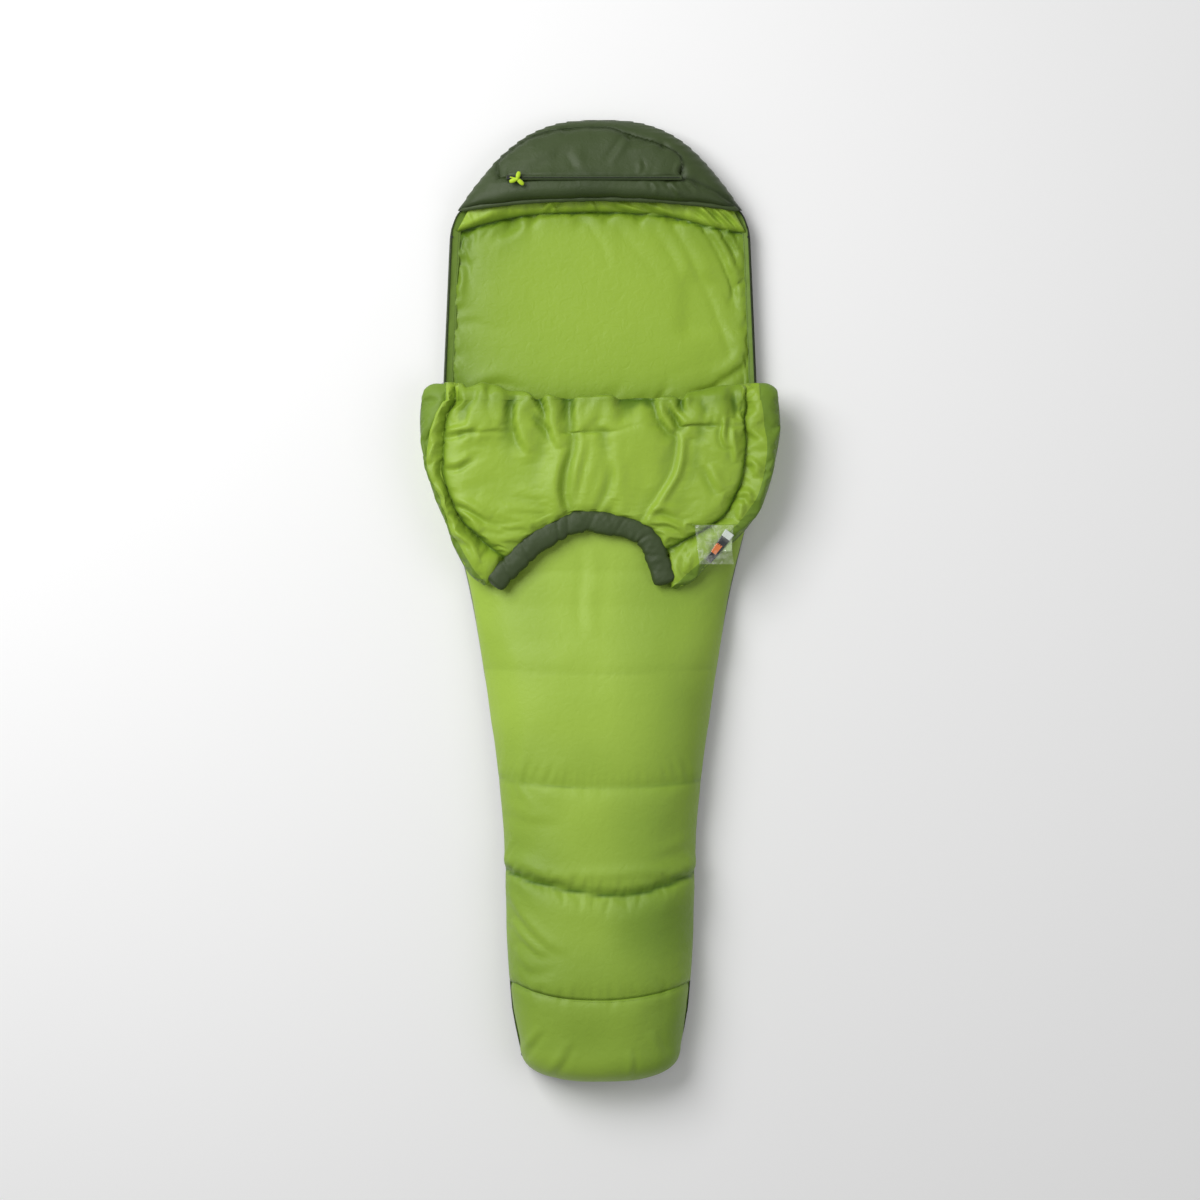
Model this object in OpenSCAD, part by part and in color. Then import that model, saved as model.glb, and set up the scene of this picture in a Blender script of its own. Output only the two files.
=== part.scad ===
// Mummy sleeping bag lying flat on its back, open at the top, with the chest flap folded down.
// X runs across the bag, Y towards the head and Z up. The origin is on the ground under the middle.
// The flap turns on the fold line, the three zip sliders travel, and their pulls and the tag swing.

/* [Length] */
// Distance from the origin to the head end, and to the foot end
half_length = 1062; // [1055:1:1075]
// Y of the line that the chest flap folds on
fold_y = 436; // [430:1:440]
// Y of the hood's front edge
hood_y = 863; // [862:1:868]
// Y where the foot end starts to round
foot_y = -985; // [-990:1:-980]

/* [Half widths] */
// Half width of the top at the folded flap
fold_half = 394; // [388:1:398]
// Half width of the back at the shoulders
shoulder_half = 348; // [347:1:352]
// Half width of the hood at its front edge
hood_half = 314; // [310:1:318]
// Half width at the waist
waist_half = 287; // [282:1:292]
// Half width at the knees
knee_half = 208; // [202:1:214]
// Half width of the foot end
foot_half = 178; // [174:1:182]

/* [Loft] */
// Thickness of the padded back
back_t = 34; // [32:1:36]
// Clear height of the mouth under the folded flap
mouth_gap = 26; // [25:1:28]
// Thickness of the padded top
top_t = 36; // [35:1:38]
// Width of the padded side seam
side_wall = 26; // [22:1:30]
// Thickness of one layer of shell or lining fabric, loose
cloth_t = 2.5; // [2:0.1:3]
// Height of the hood's crown over the back
hood_rise = 76; // [70:1:80]
// Thickness of the padded hood
hood_t = 26; // [22:1:28]

/* [Zips] */
// Radius of a side zip coil
coil_r = 2.2; // [2:0.1:2.3]
// Radius of the pocket zip coil
pocket_coil_r = 1.6; // [1.4:0.1:1.8]
// Width of a side zip tape
tape_w = 22; // [18:1:24]
// Half length of the pocket zip
pocket_half = 195; // [180:1:200]

/* [Trim] */
// Half width of the puffy neck trim
trim_r = 21; // [18:1:22]
// Side of the square tag sleeve
tag_side = 86; // [80:1:88]

/* [Hidden] */
$fn = 48;

lime = [0.62, 0.74, 0.30];
lining_green = [0.55, 0.67, 0.24];
olive = [0.28, 0.34, 0.21];
charcoal = [0.13, 0.14, 0.13];
tape_grey = [0.42, 0.46, 0.33];
wadding = [0.93, 0.93, 0.90];

// Gap between pieces that move past each other
clear = 0.3;
// Half gap between the two padded panels at the fold
fold_gap = 0.15;
top_z = back_t + mouth_gap + top_t;
axis_z = top_z + fold_gap;
flap_z = top_z + 2 * fold_gap;
flap_t = top_t - 2 * fold_gap;
flap_top = flap_z + flap_t;
foot_r = half_length + foot_y;
head_r = half_length - hood_y;
// Share of the padded thickness that each fabric layer takes
skin = cloth_t / top_t;
hood_skin = cloth_t / hood_t;
arch_steps = 20;

// Half width of the back, by Y
BACK = [
    [foot_y, foot_half], [-898, 195], [-740, 205], [-583, knee_half], [-425, 220], [-267, 239],
    [-110, 262], [22, waist_half - 1], [101, 305], [200, 328], [320, 342], [fold_y, shoulder_half],
    [600, 345], [758, 338], [837, 326], [hood_y, hood_half]
];
// Half width of the top at its widest height, by Y
TOP = [
    [foot_y, foot_half], [-898, 195], [-740, 205], [-583, knee_half], [-425, 220], [-267, 239],
    [-110, 262], [22, waist_half], [101, 310], [180, 344], [258, 374], [337, fold_half - 3],
    [390, fold_half], [fold_y, fold_half - 4]
];
// Height of the top's crown over the back, by Y
CROWN = [
    [foot_y, 106], [-900, 112], [-750, 104], [-500, 96], [-250, 92], [-100, 82], [-20, 66],
    [12, mouth_gap + top_t], [fold_y, mouth_gap + top_t]
];
// Middle line of the neck trim on the folded flap, from the left tip to the right tip
NECK = [
    [-240, 40], [-210, 66], [-175, 99], [-114, 142], [-44, 166], [44, 160], [105, 131],
    [128, 83], [142, 40]
];
// Half width of the flap, by distance from the fold
FLAP = [
    [0, fold_half - 9], [20, fold_half], [72, fold_half - 1], [99, 390], [178, 373], [256, 343],
    [309, 320], [362, 300]
];

// Zip line of the mouth: its lower end, its upper end, and its angle to Y
zip_low = [344, 440];
zip_high = [328, 800];
zip_angle = atan((zip_low[0] - zip_high[0]) / (zip_high[1] - zip_low[1]));
zip_length = norm(zip_high - zip_low);
// Heights of the back's coil, of the closed flap's coil, and of the flap's coil when folded down
coil_z = back_t + 7;
closed_coil_z = coil_z + 7.8;
folded_coil_z = 2 * axis_z - closed_coil_z;
slider_l = 26;
plate_t = 1;
plate_x = coil_r + clear;
pin_r = 0.8;
pin_x = plate_x + plate_t + 2.4;
pull_l = 24;
pull_t = 1.4;
web_z = (coil_z + closed_coil_z) / 2;

// Pocket zip on the hood
pocket_y = 924;
pocket_x = -13;
pocket_z = back_t + hood_rise - 1.4;
pocket_coil_z = pocket_z + 1 + pocket_coil_r;
pocket_slider_l = 18;
pocket_slider_x = pocket_x - pocket_half + pocket_slider_l / 2 + 4;
pocket_pin_z = pocket_coil_z + pocket_coil_r + clear + plate_t + 2.4;

// Tag and label on the flap's lining
tag_x = 206;
tag_y = 164;
label_t = 0.6;
tag_z = flap_top + label_t + clear;
tag_t = 1.8;
cord_r = 0.5;
hem_r = 1.3;
hem_z = tag_z + hem_r;

// ---- Curves ----

function ease(u) = let (v = min(max(u, 0), 1)) v * v * (3 - 2 * v);
function secant(t, i) = (t[i + 1][1] - t[i][1]) / (t[i + 1][0] - t[i][0]);
function inner_slope(a, b) = a * b <= 0 ? 0 : 2 * a * b / (a + b);
function slope(t, i) =
    i == 0 ? secant(t, 0)
    : i == len(t) - 1 ? secant(t, i - 1)
    : inner_slope(secant(t, i - 1), secant(t, i));
function span(t, y, i = 0) = i >= len(t) - 2 || y < t[i + 1][0] ? i : span(t, y, i + 1);
// Value of a table at y, on a smooth curve that never overshoots the table
function at(t, y) =
    let (i = span(t, y), h = t[i + 1][0] - t[i][0], u = (y - t[i][0]) / h, v = 1 - u)
    v * v * (1 + 2 * u) * t[i][1] + u * u * (3 - 2 * u) * t[i + 1][1]
    + h * u * v * (v * slope(t, i) - u * slope(t, i + 1));

// Half width share and height share of the hood, f from 0 at its front to 1 at the head end
function hood_width(f) = pow(1 - pow(f, 0.9), 0.365);
function hood_height(f) = sqrt(1 - pow(f, 2.2));

// Right edge of the back from the foot end to the head end, inset all round
function back_edge(inset) = concat(
    [for (a = [0:9:81]) [(foot_half - inset) * pow(sin(a), 0.77),
                         foot_y - (foot_r - inset) * pow(cos(a), 0.77)]],
    [for (i = [0:44]) let (y = foot_y + (hood_y - foot_y) * i / 45) [at(BACK, y) - inset, y]],
    [for (i = [0:15]) let (f = sin(6 * i)) [(hood_half - inset) * hood_width(f),
                                           hood_y + (head_r - inset) * f]]
);
function mirrored(edge) = [for (i = [len(edge) - 2:-1:1]) [-edge[i][0], edge[i][1]]];

// ---- Solids ----

// A flat slab of the back's outline
module back_slab(z, t, inset)
{
    edge = back_edge(inset);
    translate([0, 0, z]) linear_extrude(t) polygon(concat(edge, mirrored(edge)));
}

// A point of an arched section [y, half width at the seam, widest half width, height]:
// a is 0 at the right seam, 90 at the crown and 180 at the left seam
function arch_point(s, a, power) =
    let (z = pow(sin(a), power), half = s[1] + (s[2] - s[1]) * ease(z / 0.45))
    [sign(cos(a)) * pow(abs(cos(a)), power) * half, s[0], back_t + s[3] * z];

// One layer of an arched padded panel, between the depths k0 and k1, where 0 is its outer
// surface and 1 its inner one. A closed panel ends in a pole on the ground of the arch.
module arch_layer(outer, inner, k0, k1, a0 = 0, a1 = 180, power = 0.7, closed = false)
{
    m = arch_steps;
    n = len(outer) - (closed ? 1 : 0);
    q = n * (m + 1) + (closed ? 1 : 0);
    function section(k, i) = outer[i] + (inner[i] - outer[i]) * k;
    function id(s, i, j) = i < n ? s * q + i * (m + 1) + j : s * q + q - 1;
    function strip(a, b, c, d) = [[a, b, c], [a, c, d]];
    points = [
        for (k = [k0, k1])
            each concat(
                [for (i = [0:n - 1], j = [0:m])
                    arch_point(section(k, i), a0 + (a1 - a0) * j / m, power)],
                closed ? [[0, section(k, n)[0], back_t]] : []
            )
    ];
    skins = [
        for (i = [0:n - 2], j = [0:m - 1])
            each concat(
                [[id(0, i, j), id(0, i + 1, j + 1), id(0, i, j + 1)],
                 [id(0, i, j), id(0, i + 1, j), id(0, i + 1, j + 1)]],
                strip(id(1, i, j), id(1, i, j + 1), id(1, i + 1, j + 1), id(1, i + 1, j))
            )
    ];
    last = closed ? n - 1 : n - 2;
    sides = [
        for (i = [0:last])
            each concat(
                strip(id(1, i, 0), id(1, i + 1, 0), id(0, i + 1, 0), id(0, i, 0)),
                strip(id(0, i, m), id(0, i + 1, m), id(1, i + 1, m), id(1, i, m))
            )
    ];
    front = [
        for (j = [0:m - 1]) each strip(id(0, 0, j), id(0, 0, j + 1), id(1, 0, j + 1), id(1, 0, j))
    ];
    back = [
        for (j = [0:m - 1])
            each closed
                ? [[id(0, n - 1, j), id(0, n, 0), id(0, n - 1, j + 1)],
                   [id(1, n - 1, j), id(1, n - 1, j + 1), id(1, n, 0)]]
                : strip(id(1, n - 1, j), id(1, n - 1, j + 1), id(0, n - 1, j + 1), id(0, n - 1, j))
    ];
    faces = concat(skins, sides, front, back);
    footward = outer[0][0] > outer[1][0];
    polyhedron(points, footward ? faces : [for (f = faces) [f[2], f[1], f[0]]], convexity = 6);
}

// A closed section [offset to the left, height] swept level along a path of [x, y]
module sweep(path, section)
{
    n = len(path);
    m = len(section);
    function step(i) = path[min(i + 1, n - 1)] - path[max(i - 1, 0)];
    function normal(i) = [-step(i)[1], step(i)[0]] / norm(step(i));
    points = [
        for (i = [0:n - 1], s = section)
            [path[i][0] + normal(i)[0] * s[0], path[i][1] + normal(i)[1] * s[0], s[1]]
    ];
    walls = [
        for (i = [0:n - 2], j = [0:m - 1])
            let (a = i * m + j, b = i * m + (j + 1) % m)
            each [[a, b, b + m], [a, b + m, a + m]]
    ];
    ends = [[for (j = [m - 1:-1:0]) j], [for (j = [0:m - 1]) (n - 1) * m + j]];
    polyhedron(points, concat(walls, ends), convexity = 6);
}
function oval(rx, rz, z, u = 0, sides = 10) =
    [for (j = [0:sides - 1]) [u + rx * cos(360 * j / sides), z + rz * sin(360 * j / sides)]];
function band(u0, u1, z0, z1) = [[u0, z0], [u1, z0], [u1, z1], [u0, z1]];
// A low cushion that lies flat on z
function cushion(half, rise, z) =
    [for (j = [0:10]) let (a = 18 * j) [half * cos(a), z + rise * sin(a)]];

// Places its children on one side of the mouth: side is 1 at the right and -1 at the left
module on_side(side)
{
    if (side > 0) children();
    else mirror([1, 0, 0]) children();
}
// Places its children on the zip line, with Y along the line
module on_zip(y)
{
    translate([zip_low[0], zip_low[1], 0]) rotate([0, 0, zip_angle]) translate([0, y, 0]) children();
}

// ---- Top panel, footbox and hood ----

function top_sections(inset, depth) = [
    for (i = [0:26])
        let (y = fold_y - 0.5 - (fold_y - 0.5 + 865) * i / 26)
        [y, at(BACK, y) - inset, at(TOP, y) - inset, at(CROWN, y) - depth]
];
function footbox_sections(inset, depth) = concat(
    [for (i = [0:3])
        let (y = -865 - (-865 - foot_y) * i / 4)
        [y, at(BACK, y) - inset, at(TOP, y) - inset, at(CROWN, y) - depth]],
    [for (i = [0:9])
        let (a = 9 * i, w = pow(cos(a), 0.77))
        [foot_y - (foot_r - inset) * pow(sin(a), 0.77), (foot_half - inset) * w,
         (foot_half - inset) * w, (at(CROWN, foot_y) - depth) * pow(cos(a), 0.6)]],
    [[foot_y - (foot_r - inset), 0, 0, 0]]
);
// Stations of the hood between two shares of its length
function hood_sections(f0, f1, steps, inset, depth) = [
    for (i = [0:steps])
        let (f = f0 + (f1 - f0) * sin(90 * i / steps), half = (hood_half - inset) * hood_width(f))
        [hood_y + 6 + (head_r - 6 - inset) * f, half, half, (hood_rise - depth) * hood_height(f)]
];
module top_layer(k0, k1)
{
    arch_layer(top_sections(0, 0), top_sections(side_wall, top_t), k0, k1);
}
module footbox_layer(k0, k1)
{
    arch_layer(footbox_sections(0, 0), footbox_sections(side_wall, top_t), k0, k1, closed = true);
}
module hood_layer(f0, f1, steps, k0, k1, a0 = 0, a1 = 180)
{
    arch_layer(hood_sections(f0, f1, steps, 0, 0), hood_sections(f0, f1, steps, 22, hood_t),
               k0, k1, a0, a1, power = 0.35, closed = f1 == 1);
}

module back_shell()
{
    color(olive) difference()
    {
        back_slab(0, back_t, 0);
        back_slab(cloth_t, back_t, cloth_t);
    }
}
module back_insulation() { color(wadding) back_slab(cloth_t, back_t - 2 * cloth_t, cloth_t); }
module back_lining() { color(lining_green) back_slab(back_t - cloth_t, cloth_t, cloth_t); }
module top_shell() { color(lime) top_layer(0, skin); }
module top_insulation() { color(wadding) top_layer(skin, 1 - skin); }
module top_lining() { color(lining_green) top_layer(1 - skin, 1); }
module footbox_shell() { color(lime) footbox_layer(0, skin); }
module footbox_insulation() { color(wadding) footbox_layer(skin, 1 - skin); }
module footbox_lining() { color(lining_green) footbox_layer(1 - skin, 1); }
module hood_front_panel() { color(olive) hood_layer(0, 0.72, 8, 0, hood_skin); }
module hood_rim_panel() { color(olive) hood_layer(0.72, 1, 8, 0, hood_skin); }
module hood_insulation() { color(wadding) hood_layer(0, 1, 14, 2.3 * hood_skin, 1 - hood_skin); }
module hood_lining() { color(lining_green) hood_layer(0, 1, 14, 1 - hood_skin, 1); }

// Puffy band round the hood's front edge
module hood_brim()
{
    function sections(grow) = [
        for (a = [0:22.5:180])
            let (swell = 5 * sin(a) * grow, y = hood_y - 1 + 6.8 * cos(a))
            [y, hood_half + swell, hood_half + swell, hood_rise + swell]
    ];
    function inside(grow) = [
        for (s = sections(grow)) [s[0], s[1] - 22, s[2] - 22, s[3] - hood_t]
    ];
    color(olive) arch_layer(sections(1), inside(-1), 0, 1, power = 0.35);
}
// Gathered roll of lining that closes round the neck
module neck_baffle()
{
    path = [for (i = [-10:10]) [-29 * i, 838 - 0.9 * pow(i, 2) / 10]];
    color(lining_green) sweep(path, cushion(12, 10, back_t));
}

// ---- Pocket on the hood ----

module pocket_bag()
{
    color(olive) hood_layer(0.36, 0.62, 4, 1.5 * hood_skin, 1.8 * hood_skin, 62, 118);
}
module pocket_zip_tape()
{
    tape = [2 * pocket_half + 12, 20, 1];
    color(charcoal) union()
    {
        translate([pocket_x - tape[0] / 2, pocket_y - tape[1] / 2, pocket_z]) cube(tape);
        for (side = [-1, 1])
            translate([pocket_x + side * (tape[0] / 2 - 2) - 2, pocket_y - 3, pocket_z])
                cube([4, 6, 1 + 2 * pocket_coil_r]);
    }
}
module pocket_zip_coil()
{
    color(charcoal) translate([pocket_x - pocket_half, pocket_y, pocket_coil_z]) rotate([0, 90, 0])
        cylinder(r = pocket_coil_r, h = 2 * pocket_half);
}
// Slider over the pocket coil, with a bridge for its pull
module pocket_slider()
{
    inside = pocket_coil_r + clear;
    high = inside + plate_t;
    color(charcoal) translate([pocket_slider_x, pocket_y, pocket_coil_z]) union()
    {
        difference()
        {
            translate([-pocket_slider_l / 2, -high - 1, clear - pocket_coil_r])
                cube([pocket_slider_l, 2 * high + 2, pocket_coil_r + high - clear]);
            translate([-pocket_slider_l / 2 - 1, -inside, -high])
                cube([pocket_slider_l + 2, 2 * inside, high + inside]);
        }
        for (side = [-1, 1])
            translate([-1.5, side * 3 - 0.6, high]) cube([3, 1.2, 3.4]);
        translate([0, 3, pocket_pin_z - pocket_coil_z]) rotate([90, 0, 0]) cylinder(r = pin_r, h = 6);
    }
}
// Cord pull with a knot, lying along the zip
module pocket_pull()
{
    color(lime) translate([pocket_slider_x, pocket_y, pocket_pin_z]) difference()
    {
        union()
        {
            rotate([90, 0, 0]) cylinder(r = 2, h = 3.6, center = true);
            translate([0, -1.8, -1]) cube([26, 3.6, 2]);
            translate([27, 0, 0]) sphere(r = 3.4);
            translate([28, 0, 0]) rotate([0, 90, 0]) cylinder(r = 1.4, h = 12);
        }
        rotate([90, 0, 0]) cylinder(r = pin_r + 0.08, h = 8, center = true);
    }
}

// ---- Side zips ----

// Tape of the mouth: a flat band on the back and a lip that carries the coil
module mouth_tape(side)
{
    color(tape_grey) on_side(side) on_zip(0) union()
    {
        translate([-tape_w - 1, 0, back_t]) cube([tape_w + 1.4, zip_length, 0.8]);
        translate([-0.4, 0, back_t]) cube([0.8, zip_length, coil_z - back_t - coil_r]);
    }
}
module mouth_coil(side)
{
    color(charcoal) on_side(side) on_zip(0) translate([0, 0, coil_z]) rotate([-90, 0, 0])
        cylinder(r = coil_r, h = zip_length);
}
// Closed zip down the flank, on the back's side wall
flank = [for (y = [424:-58:-214]) [at(BACK, y), y]];
flank_gap = 0.8;
module side_zip_tape(side)
{
    color(tape_grey) on_side(side) sweep(flank, band(flank_gap, flank_gap + 0.8, 15, 31));
}
module side_zip_coil(side)
{
    color(charcoal) on_side(side) for (z = [21, 25.6])
        sweep(flank, oval(coil_r, coil_r, z, flank_gap + 0.9 + coil_r, 8));
}
module end_stop(side, y)
{
    on_side(side) on_zip(y) translate([-2.6, 0, coil_z - 2.6]) cube([5.2, 4, 5.2]);
}
module zip_end_stops()
{
    color(charcoal) union()
    {
        for (side = [-1, 1], y = [-4.1, zip_length + 0.1]) end_stop(side, y);
    }
}
// Slider on the mouth's coil: two upright plates and a web that keeps the two coils apart
module side_slider(side)
{
    low = coil_z - coil_r - 0.6;
    high = closed_coil_z + coil_r + 0.6;
    color(charcoal) on_side(side) on_zip(slider_l / 2 + 2) union()
    {
        for (u = [-plate_x - plate_t, plate_x])
            translate([u, -slider_l / 2, low]) cube([plate_t, slider_l, high - low]);
        translate([-plate_x, -slider_l / 2, web_z - 1]) cube([2 * plate_x, slider_l, 2]);
        for (z = [-4.4, 3.2])
            translate([plate_x + plate_t, -1.5, web_z + z]) cube([3.2, 3, 1.2]);
        translate([pin_x, 0, web_z - 4.4]) cylinder(r = pin_r, h = 8.8);
    }
}
module side_pull(side)
{
    color(charcoal) on_side(side) on_zip(slider_l / 2 + 2) translate([pin_x, 0, web_z]) difference()
    {
        union()
        {
            cylinder(r = 1.9, h = 5.6, center = true);
            translate([-pull_t / 2, 0, -2.8]) cube([pull_t, pull_l, 5.6]);
        }
        cylinder(r = pin_r + 0.08, h = 8, center = true);
    }
}

// ---- Fold and flap ----

// The padded panel where it turns over the fold; it rolls flat as the flap closes
module fold_roll()
{
    half = fold_half - 8;
    color(lime) translate([-half, fold_y, axis_z]) rotate([0, 90, 0]) intersection()
    {
        cylinder(r = top_t - fold_gap, h = 2 * half);
        translate([-top_t, 0.5, 0]) cube([2 * top_t, top_t, 2 * half]);
    }
}
// Smooth path through points, with a few steps between each two
function bend(p0, p1, p2, p3, u) =
    0.5 * (2 * p1 + (p2 - p0) * u + (2 * p0 - 5 * p1 + 4 * p2 - p3) * u * u
           + (3 * p1 - p0 - 3 * p2 + p3) * u * u * u);
function smooth(p, steps) = concat(
    [for (i = [0:len(p) - 2], s = [0:steps - 1])
        bend(p[max(i - 1, 0)], p[i], p[i + 1], p[min(i + 2, len(p) - 1)], s / steps)],
    [p[len(p) - 1]]
);
neck_path = smooth(NECK, 3);
function neck_step(i) = neck_path[min(i + 1, len(neck_path) - 1)] - neck_path[max(i - 1, 0)];
// Edge of the flap along the outer side of the neck trim
neck_edge = [
    for (i = [0:len(neck_path) - 1])
        let (d = neck_step(i) / norm(neck_step(i))) neck_path[i] + trim_r * [-d[1], d[0]]
];
function flap_side(side, inset) = [
    for (i = [0:14])
        let (d = 0.5 + 361.5 * i / 14) [side * (at(FLAP, d) - inset), fold_y - d]
];
module flap_slab(z, t, inset)
{
    right = flap_side(1, inset);
    left = flap_side(-1, inset);
    outline = concat(
        [for (i = [len(left) - 1:-1:0]) left[i]], right,
        [for (i = [len(neck_edge) - 1:-1:0]) neck_edge[i]]
    );
    translate([0, 0, z]) linear_extrude(t) polygon(outline);
}
module flap_shell() { color(lime) flap_slab(flap_z, cloth_t, 0); }
module flap_insulation() { color(wadding) flap_slab(flap_z + cloth_t, flap_t - 2 * cloth_t, 0); }
module flap_lining() { color(lining_green) flap_slab(flap_top - cloth_t, cloth_t, 0); }
module neck_trim()
{
    half_height = flap_t / 2;
    color(olive) sweep(neck_path, oval(trim_r - 0.3, half_height, flap_z + half_height));
}
// X of the flap's zip by distance from the fold: on the mouth's zip line, then round the corner
function flap_zip_x(d) = zip_low[0] - (d - (zip_low[1] - fold_y)) * tan(zip_angle)
    - 24 * pow(max(d - 240, 0) / 110, 1.5);
flap_zip = [for (d = [44:17:350]) [flap_zip_x(d), fold_y - d]];
module draft_tube(side)
{
    path = [for (p = flap_zip) if (p[1] > tag_y + 6) [p[0] - 22, p[1]]];
    color(lime) on_side(side) sweep(path, cushion(14, 14, flap_top));
}
module flap_tape(side)
{
    color(tape_grey) on_side(side)
        sweep(flap_zip, band(-0.4, 0.4, flap_top, folded_coil_z - coil_r));
}
module flap_coil(side)
{
    color(charcoal) on_side(side) sweep(flap_zip, oval(coil_r, coil_r, folded_coil_z, 0, 12));
}

// ---- Label and tag ----

module care_label()
{
    color("white") translate([tag_x + 50, tag_y - 60, flap_top]) cube([33, 33, label_t]);
}
module tag_sleeve()
{
    wall = 0.4;
    color([0.85, 0.88, 0.9, 0.4]) difference()
    {
        union()
        {
            translate([tag_x, tag_y - tag_side, tag_z]) cube([tag_side, tag_side, tag_t]);
            translate([tag_x, tag_y, hem_z]) rotate([0, 90, 0]) cylinder(r = hem_r, h = tag_side);
        }
        translate([tag_x + 3, tag_y - tag_side + 3, tag_z + wall])
            cube([tag_side - 6, tag_side - 12, tag_t - 2 * wall]);
        translate([tag_x - 1, tag_y, hem_z]) rotate([0, 90, 0])
            cylinder(r = cord_r + 0.08, h = tag_side + 2);
    }
}
module tag_card()
{
    color([0.92, 0.5, 0.15]) translate([tag_x + 6, tag_y - tag_side + 6, tag_z + 0.6])
        cube([tag_side - 12, tag_side - 18, 0.6]);
}
// Fine cord through the sleeve's hem, tacked to the flap's lining at both ends
module tag_cord()
{
    reach = 5;
    color("white") union()
    {
        translate([tag_x - reach, tag_y, hem_z]) rotate([0, 90, 0])
            cylinder(r = cord_r, h = tag_side + 2 * reach);
        for (x = [tag_x - reach, tag_x + tag_side + reach - 3])
            translate([x, tag_y - 1.5, flap_top]) cube([3, 3, hem_z + 1 - flap_top]);
    }
}

module left_zip_tape() { mouth_tape(-1); }
module right_zip_tape() { mouth_tape(1); }
module left_zip_coil() { mouth_coil(-1); }
module right_zip_coil() { mouth_coil(1); }
module left_side_zip_tape() { side_zip_tape(-1); }
module right_side_zip_tape() { side_zip_tape(1); }
module left_side_zip_coil() { side_zip_coil(-1); }
module right_side_zip_coil() { side_zip_coil(1); }
module left_slider() { side_slider(-1); }
module right_slider() { side_slider(1); }
module left_pull() { side_pull(-1); }
module right_pull() { side_pull(1); }
module left_draft_tube() { draft_tube(-1); }
module right_draft_tube() { draft_tube(1); }
module left_flap_tape() { flap_tape(-1); }
module right_flap_tape() { flap_tape(1); }
module left_flap_coil() { flap_coil(-1); }
module right_flap_coil() { flap_coil(1); }

back_shell();
back_insulation();
back_lining();
top_shell();
top_insulation();
top_lining();
footbox_shell();
footbox_insulation();
footbox_lining();
hood_front_panel();
hood_rim_panel();
hood_insulation();
hood_lining();
hood_brim();
neck_baffle();
pocket_bag();
pocket_zip_tape();
pocket_zip_coil();
pocket_slider();
pocket_pull();
left_zip_tape();
left_zip_coil();
right_zip_tape();
right_zip_coil();
left_side_zip_tape();
left_side_zip_coil();
right_side_zip_tape();
right_side_zip_coil();
zip_end_stops();
left_slider();
left_pull();
right_slider();
right_pull();
fold_roll();
flap_shell();
flap_insulation();
flap_lining();
left_draft_tube();
right_draft_tube();
neck_trim();
left_flap_tape();
left_flap_coil();
right_flap_tape();
right_flap_coil();
care_label();
tag_sleeve();
tag_card();
tag_cord();
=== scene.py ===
"""Mummy sleeping bag lying flat, its chest flap folded down over the legs.

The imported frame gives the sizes, the bodies and the joints. Every soft piece here is a quilt:
a sheet of points with seams, puckers and loft, closed by a second sheet behind it.
"""

import logging
import math
from dataclasses import dataclass, field
from enum import Enum
from typing import Sequence

import bpy
import numpy as np
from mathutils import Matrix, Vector


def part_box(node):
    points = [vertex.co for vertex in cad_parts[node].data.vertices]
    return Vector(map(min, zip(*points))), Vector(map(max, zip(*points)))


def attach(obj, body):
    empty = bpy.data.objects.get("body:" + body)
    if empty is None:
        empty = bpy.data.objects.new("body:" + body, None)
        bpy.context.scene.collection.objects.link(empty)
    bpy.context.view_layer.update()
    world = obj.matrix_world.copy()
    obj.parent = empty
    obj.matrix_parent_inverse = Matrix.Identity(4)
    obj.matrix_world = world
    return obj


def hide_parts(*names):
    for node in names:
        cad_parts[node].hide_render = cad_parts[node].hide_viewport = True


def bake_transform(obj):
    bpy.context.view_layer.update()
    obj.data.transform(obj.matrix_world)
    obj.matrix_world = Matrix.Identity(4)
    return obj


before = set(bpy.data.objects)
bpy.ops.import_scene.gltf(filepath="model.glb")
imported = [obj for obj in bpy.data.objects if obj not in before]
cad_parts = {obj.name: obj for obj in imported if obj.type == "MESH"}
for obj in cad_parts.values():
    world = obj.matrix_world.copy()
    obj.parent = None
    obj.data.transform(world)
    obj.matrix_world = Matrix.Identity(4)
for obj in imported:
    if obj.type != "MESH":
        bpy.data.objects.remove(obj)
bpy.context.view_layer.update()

MM = 0.001
Points = np.ndarray
log = logging.getLogger("sleeping_bag")


class Body(Enum):
    """The moving bodies that the pieces ride on."""

    BAG = "bag"
    FLAP = "flap"
    TAG = "tag"
    POCKET_SLIDER = "pocket_slider"
    POCKET_PULL = "pocket_pull"


# ---------------------------------------------------------------- curves and fields


def run_along(path: Points) -> Points:
    """Distance of each point of a path from its start, measured along the path."""
    return np.r_[0, np.cumsum(np.linalg.norm(np.diff(path, axis=0), axis=1))]


def smooth_path(points: Sequence[Sequence[float]], count: int) -> Points:
    """Evenly spaced points on a smooth curve through a few chosen ones.

    Args:
        points: the chosen points, in order.
        count: how many points to return.

    Returns:
        An array of count points.
    """
    p = np.asarray(points, float)
    ends = np.vstack([2 * p[0] - p[1], p, 2 * p[-1] - p[-2]])
    u = np.linspace(0, 1, 16, endpoint=False)[:, None]
    parts = []
    for a, b, c, d in zip(ends, ends[1:], ends[2:], ends[3:]):
        cubic = (2 * a - 5 * b + 4 * c - d) * u**2 + (3 * b - a - 3 * c + d) * u**3
        parts.append(0.5 * (2 * b + (c - a) * u + cubic))
    fine = np.vstack(parts + [p[-1:]])
    run = run_along(fine)
    at = np.linspace(0, run[-1], count)
    return np.column_stack([np.interp(at, run, fine[:, k]) for k in range(p.shape[1])])


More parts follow.
